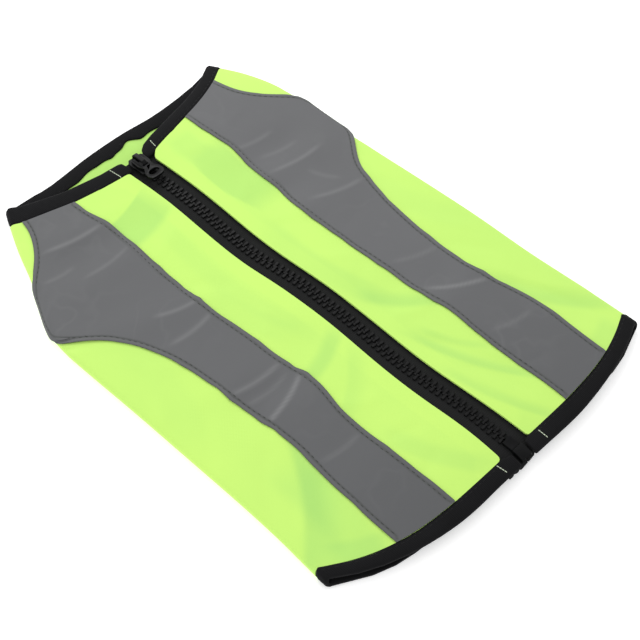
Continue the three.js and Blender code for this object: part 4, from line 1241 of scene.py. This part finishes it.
# %% [markdown]
# ## Slider, pull tab, pin and box
# These are moulded parts with flat faces and small radii. Their solids have the right
# outlines, so each copy's flat faces are dissolved to whole polygons. Insets make the
# tab's raised rim, the pin's pocket and the box's open end, and Bevel rounds the edges.

# %% Hard parts


def moulded_part(node, name, round_by, pocket=None, segments=2, body="vest"):
    """A moulded part from its solid, with its flat faces dissolved to whole polygons and
    its edges rounded. A pocket is a test for its faces, its rim and its depth, in mm."""
    piece = copy_node(node, name)
    edit(piece)
    bpy.ops.mesh.dissolve_limited(angle_limit=math.radians(2))
    done()
    if pocket:
        test, rim, depth = pocket
        edit(piece, select=test)
        bpy.ops.mesh.inset(thickness=rim * MM, depth=-depth * MM, use_boundary=True)
        done()
    round_edges(piece, round_by, 30, segments)
    smooth(piece, 35)
    return dress(piece, slider_plastic, "zip_plastic", node, body=body)


FACING = 0.9               # a normal's least part along the direction that a face looks in
tab_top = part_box("zip_pull_tab")[1].z - 0.1 * MM
moulded_part("zip_slider", "slider_body", 0.22, segments=3)
moulded_part(
    "zip_pull_tab", "pull_tab", 0.14, body="pull_tab",
    pocket=(lambda face: face.normal.z > FACING and face.center.z > tab_top, 0.6, 0.22),
)
moulded_part("zip_pin", "zip_pin_end", 0.16, (lambda face: face.normal.z > FACING, 0.9, 0.3))
moulded_part("zip_box", "zip_box_end", 0.2, (lambda face: face.normal.y < -FACING, 0.55, 0.7))

# %% [markdown]
# ## Stitches
# A stitch is a short thread that dips into the cloth at both ends. One is made from a
# circle, extruded three times in an arch, and copied along each sewn line. The lines
# are offset from the pieces' own edges and dropped onto their surfaces.

# %% One stitch
STITCH = {"long": 2.0, "gap": 0.75, "thread": 0.17}        # mm; thread is its radius
# Where the thread is swept through: x in lengths, height in radii, and its thickness.
ARCH = [(-0.5, -0.9, 0.35), (-0.3, 0.1, 1), (0.3, 0.1, 1), (0.5, -0.9, 0.35)]


def make_stitch(name, long, thread):
    """A stitch along +X from a circle that is extruded in an arch; sizes are in mm."""
    bpy.ops.object.select_all(action="DESELECT")
    bpy.ops.mesh.primitive_circle_add(
        vertices=5, radius=thread * MM, fill_type="NGON", rotation=(0, math.pi / 2, 0)
    )
    piece = bpy.context.object
    piece.name = name
    bpy.ops.object.transform_apply(location=True, rotation=True, scale=True)
    x, z, size = ARCH[0]
    place = np.array([x * long, 0, z * thread]) * MM
    edit(piece)
    bpy.ops.transform.translate(value=tuple(place))
    bpy.ops.transform.resize(value=(1, size, size), center_override=tuple(place))
    for (x0, z0, size0), (x1, z1, size1) in zip(ARCH, ARCH[1:]):
        step = np.array([(x1 - x0) * long, 0, (z1 - z0) * thread]) * MM
        bpy.ops.mesh.extrude_region_move(TRANSFORM_OT_translate={"value": tuple(step)})
        place = place + step
        grow = size1 / size0
        bpy.ops.transform.resize(value=(1, grow, grow), center_override=tuple(place))
    done_outwards()
    return piece


stitch = make_stitch("pattern_stitch", STITCH["long"], STITCH["thread"])
print("one stitch:", len(stitch.data.polygons), "faces")

# %% Helpers that lay a line for stitches


def offset_line(edge, inside, surface, into):
    """Places and normals on a surface, into mm from an edge towards a place inside."""
    line = []
    for i, p in enumerate(edge):
        along = edge[min(i + 1, len(edge) - 1)] - edge[max(i - 1, 0)]
        side = inside(p) - p
        for _ in range(2):
            side = side - along * (side @ along) / (along @ along)
            side /= np.linalg.norm(side)
            spot, normal, _, _ = surface.find_nearest(Vector(p + side * into * MM))
            normal = np.array(normal)
            side = side - normal * (side @ normal)
        line.append((np.array(spot), normal))
    return line


def surface_of(piece):
    """The piece's surface, for finding the nearest place or a hit on it."""
    piece.data.calc_loop_triangles()
    corners = [tuple(t.vertices) for t in piece.data.loop_triangles]
    return BVHTree.FromPolygons([v.co for v in piece.data.vertices], corners)


def towards_x(x):
    """For each place on an edge, the place beside it at x, in mm."""
    return lambda p: np.array([x * MM, p[1], p[2]])


print("line helpers are ready")

# %% Rows of stitches
LOOK = 0.5                 # how far before and behind a stitch its direction is read, in mm


def at_marks(marks, run, values):
    """The values of a line at marks along its run."""
    return np.array([np.interp(marks, run, values[:, k]) for k in range(3)]).T


def sew(lines, piece_name, pattern, material, slot, pitch, sunk=0.05):
    """Copies the stitch along each line of places and normals, and makes one piece of them.
    The pitch and how far the stitches are sunk are in mm."""
    places = []
    for line in lines:
        spots = np.array([spot for spot, _ in line])
        normals = np.array([normal for _, normal in line])
        run = np.concatenate([[0], np.cumsum(np.linalg.norm(np.diff(spots, axis=0), axis=1))])
        marks = np.arange(pitch / 2 * MM, run[-1], pitch * MM)
        columns = zip(
            at_marks(marks, run, spots),
            at_marks(marks + LOOK * MM, run, spots) - at_marks(marks - LOOK * MM, run, spots),
            at_marks(marks, run, normals),
        )
        for spot, along, up in columns:
            places.append(matrix_from(along, up, spot - up * sunk * MM))
    print(len(places), "stitches")
    piece = copies(pattern, places, piece_name)
    smooth(piece, 60)
    return dress(piece, material, slot)


print("stitches can be sewn")

# %% Stitches on the strips
STRIP_MIDDLE = 52          # a place between a strip's two rows, in mm from the zip
pitch = STITCH["long"] + STITCH["gap"]
for hand in ("left", "right"):
    surface = surface_of(strips[hand])
    inside = towards_x(SIGNS[hand] * STRIP_MIDDLE)
    lines = [offset_line(ordered(edge, 1), inside, surface, STITCHES_IN) for edge in strip_edges[hand]]
    sew(lines, f"strip_stitches_{hand}", stitch, grey_thread, "reflective_cloth", pitch, 0.08)

# %% Stitches on the bindings
SEWN_IN = 1.5              # from the cloth's edge to the binding's stitches, in mm
NEAR_TAPE = 1.6            # a panel's edge is bound where the tape is nearer than this, in mm
SEEN_NECK, BELLY_TOP = 40, 2.3   # half width of the neck opening and the tape's top, in mm
black_stitch = make_stitch("black_stitch", 1.9, 0.16)


def bound_edge(hand, end, tape):
    """The top edge of a back panel that lies along a bound tape, from side to side."""
    rim = panel_rims[hand]
    corner = corner_of(rim, (-SIGNS[hand], SIGNS[end]))
    near = distance_to(points_of(tape)[0], rim) < NEAR_TAPE * MM
    clear = abs(rim[:, 0] - corner[0]) > NEAR_TAPE * MM
    return ordered(rim[near & clear & (rim[:, 2] > SIDE_Z * MM)], 0)


def towards_y(sign):
    """For each place on an edge, the place beside it towards the neck or the hem."""
    return lambda p: p + np.array([0, sign * SEWN_IN * MM, 0])


for end, tape in (("neck", neck_tape), ("hem", hem_tape)):
    surface = surface_of(tape)
    lines = [offset_line(bound_edge(hand, end, tape), towards_y(SIGNS[end]), surface, SEWN_IN)
             for hand in ("left", "right")]
    if end == "neck":
        across, along = belly_neck[:, abs(belly_neck[0]) < SEEN_NECK * MM]
        edge = np.array([across, along, np.full(len(across), BELLY_TOP * MM)]).T
        edge[:, 1] += edge_wave(NECK_BUCKLES, edge[:, 0]) * MM
        lines.append(offset_line(ordered(edge, 0), towards_y(1), surface, SEWN_IN))
    sew(lines, f"{end}_stitches", black_stitch, black_thread, "binding_tape", pitch)

# %% Stitches under the leg bindings
for hand, ring in zip(("left", "right"), leg_tapes):
    low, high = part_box(f"leg_binding_{hand}")
    middle, half = (low + high) / 2, (high - low) / 2
    into = (RINGS - STITCH_RING) / RINGS * TAPE_WIDE * MM
    turn = np.linspace(0, 2 * math.pi, 97)
    x, y = middle.x + (half.x - into) * np.cos(turn), middle.y + (half.y - into) * np.sin(turn)
    line = [(np.array([a, b, PRESSED * MM]), -UP) for a, b in zip(x, y)]
    sew([line], f"leg_stitches_{hand}", black_stitch, black_thread, "binding_tape", pitch)

# %% White tacks
# Short rows of white thread that hold the bindings' ends. x0, y0, x1, y1 in mm.
TACKS = {
    "neck": [(14.4, 108.0, 13.5, 102.6), (-11.6, 106.8, -10.7, 99.3)],
    "hem": [(-8.3, -124.9, -7.2, -129.9), (16.9, -125.7, 17.3, -130.2)],
}
TACK = {"long": 1.3, "thread": 0.2, "pitch": 1.25, "above": 30}
DOWN = Vector((0, 0, -1))
tack = make_stitch("pattern_tack", TACK["long"], TACK["thread"])
for end, tape in (("neck", neck_tape), ("hem", hem_tape)):
    surface = surface_of(tape)
    lines = []
    for x0, y0, x1, y1 in TACKS[end]:
        line = []
        for t in np.linspace(0, 1, 8):
            above = Vector((x0 + (x1 - x0) * t, y0 + (y1 - y0) * t, TACK["above"])) * MM
            spot, normal, _, _ = surface.ray_cast(above, DOWN)
            if spot is not None:
                line.append((np.array(spot), np.array(normal)))
        lines.append(line)
    sew(lines, f"{end}_tacks", tack, white_thread, "binding_tape", TACK["pitch"], 0)
for pattern in (stitch, black_stitch, tack):
    bpy.data.objects.remove(pattern)
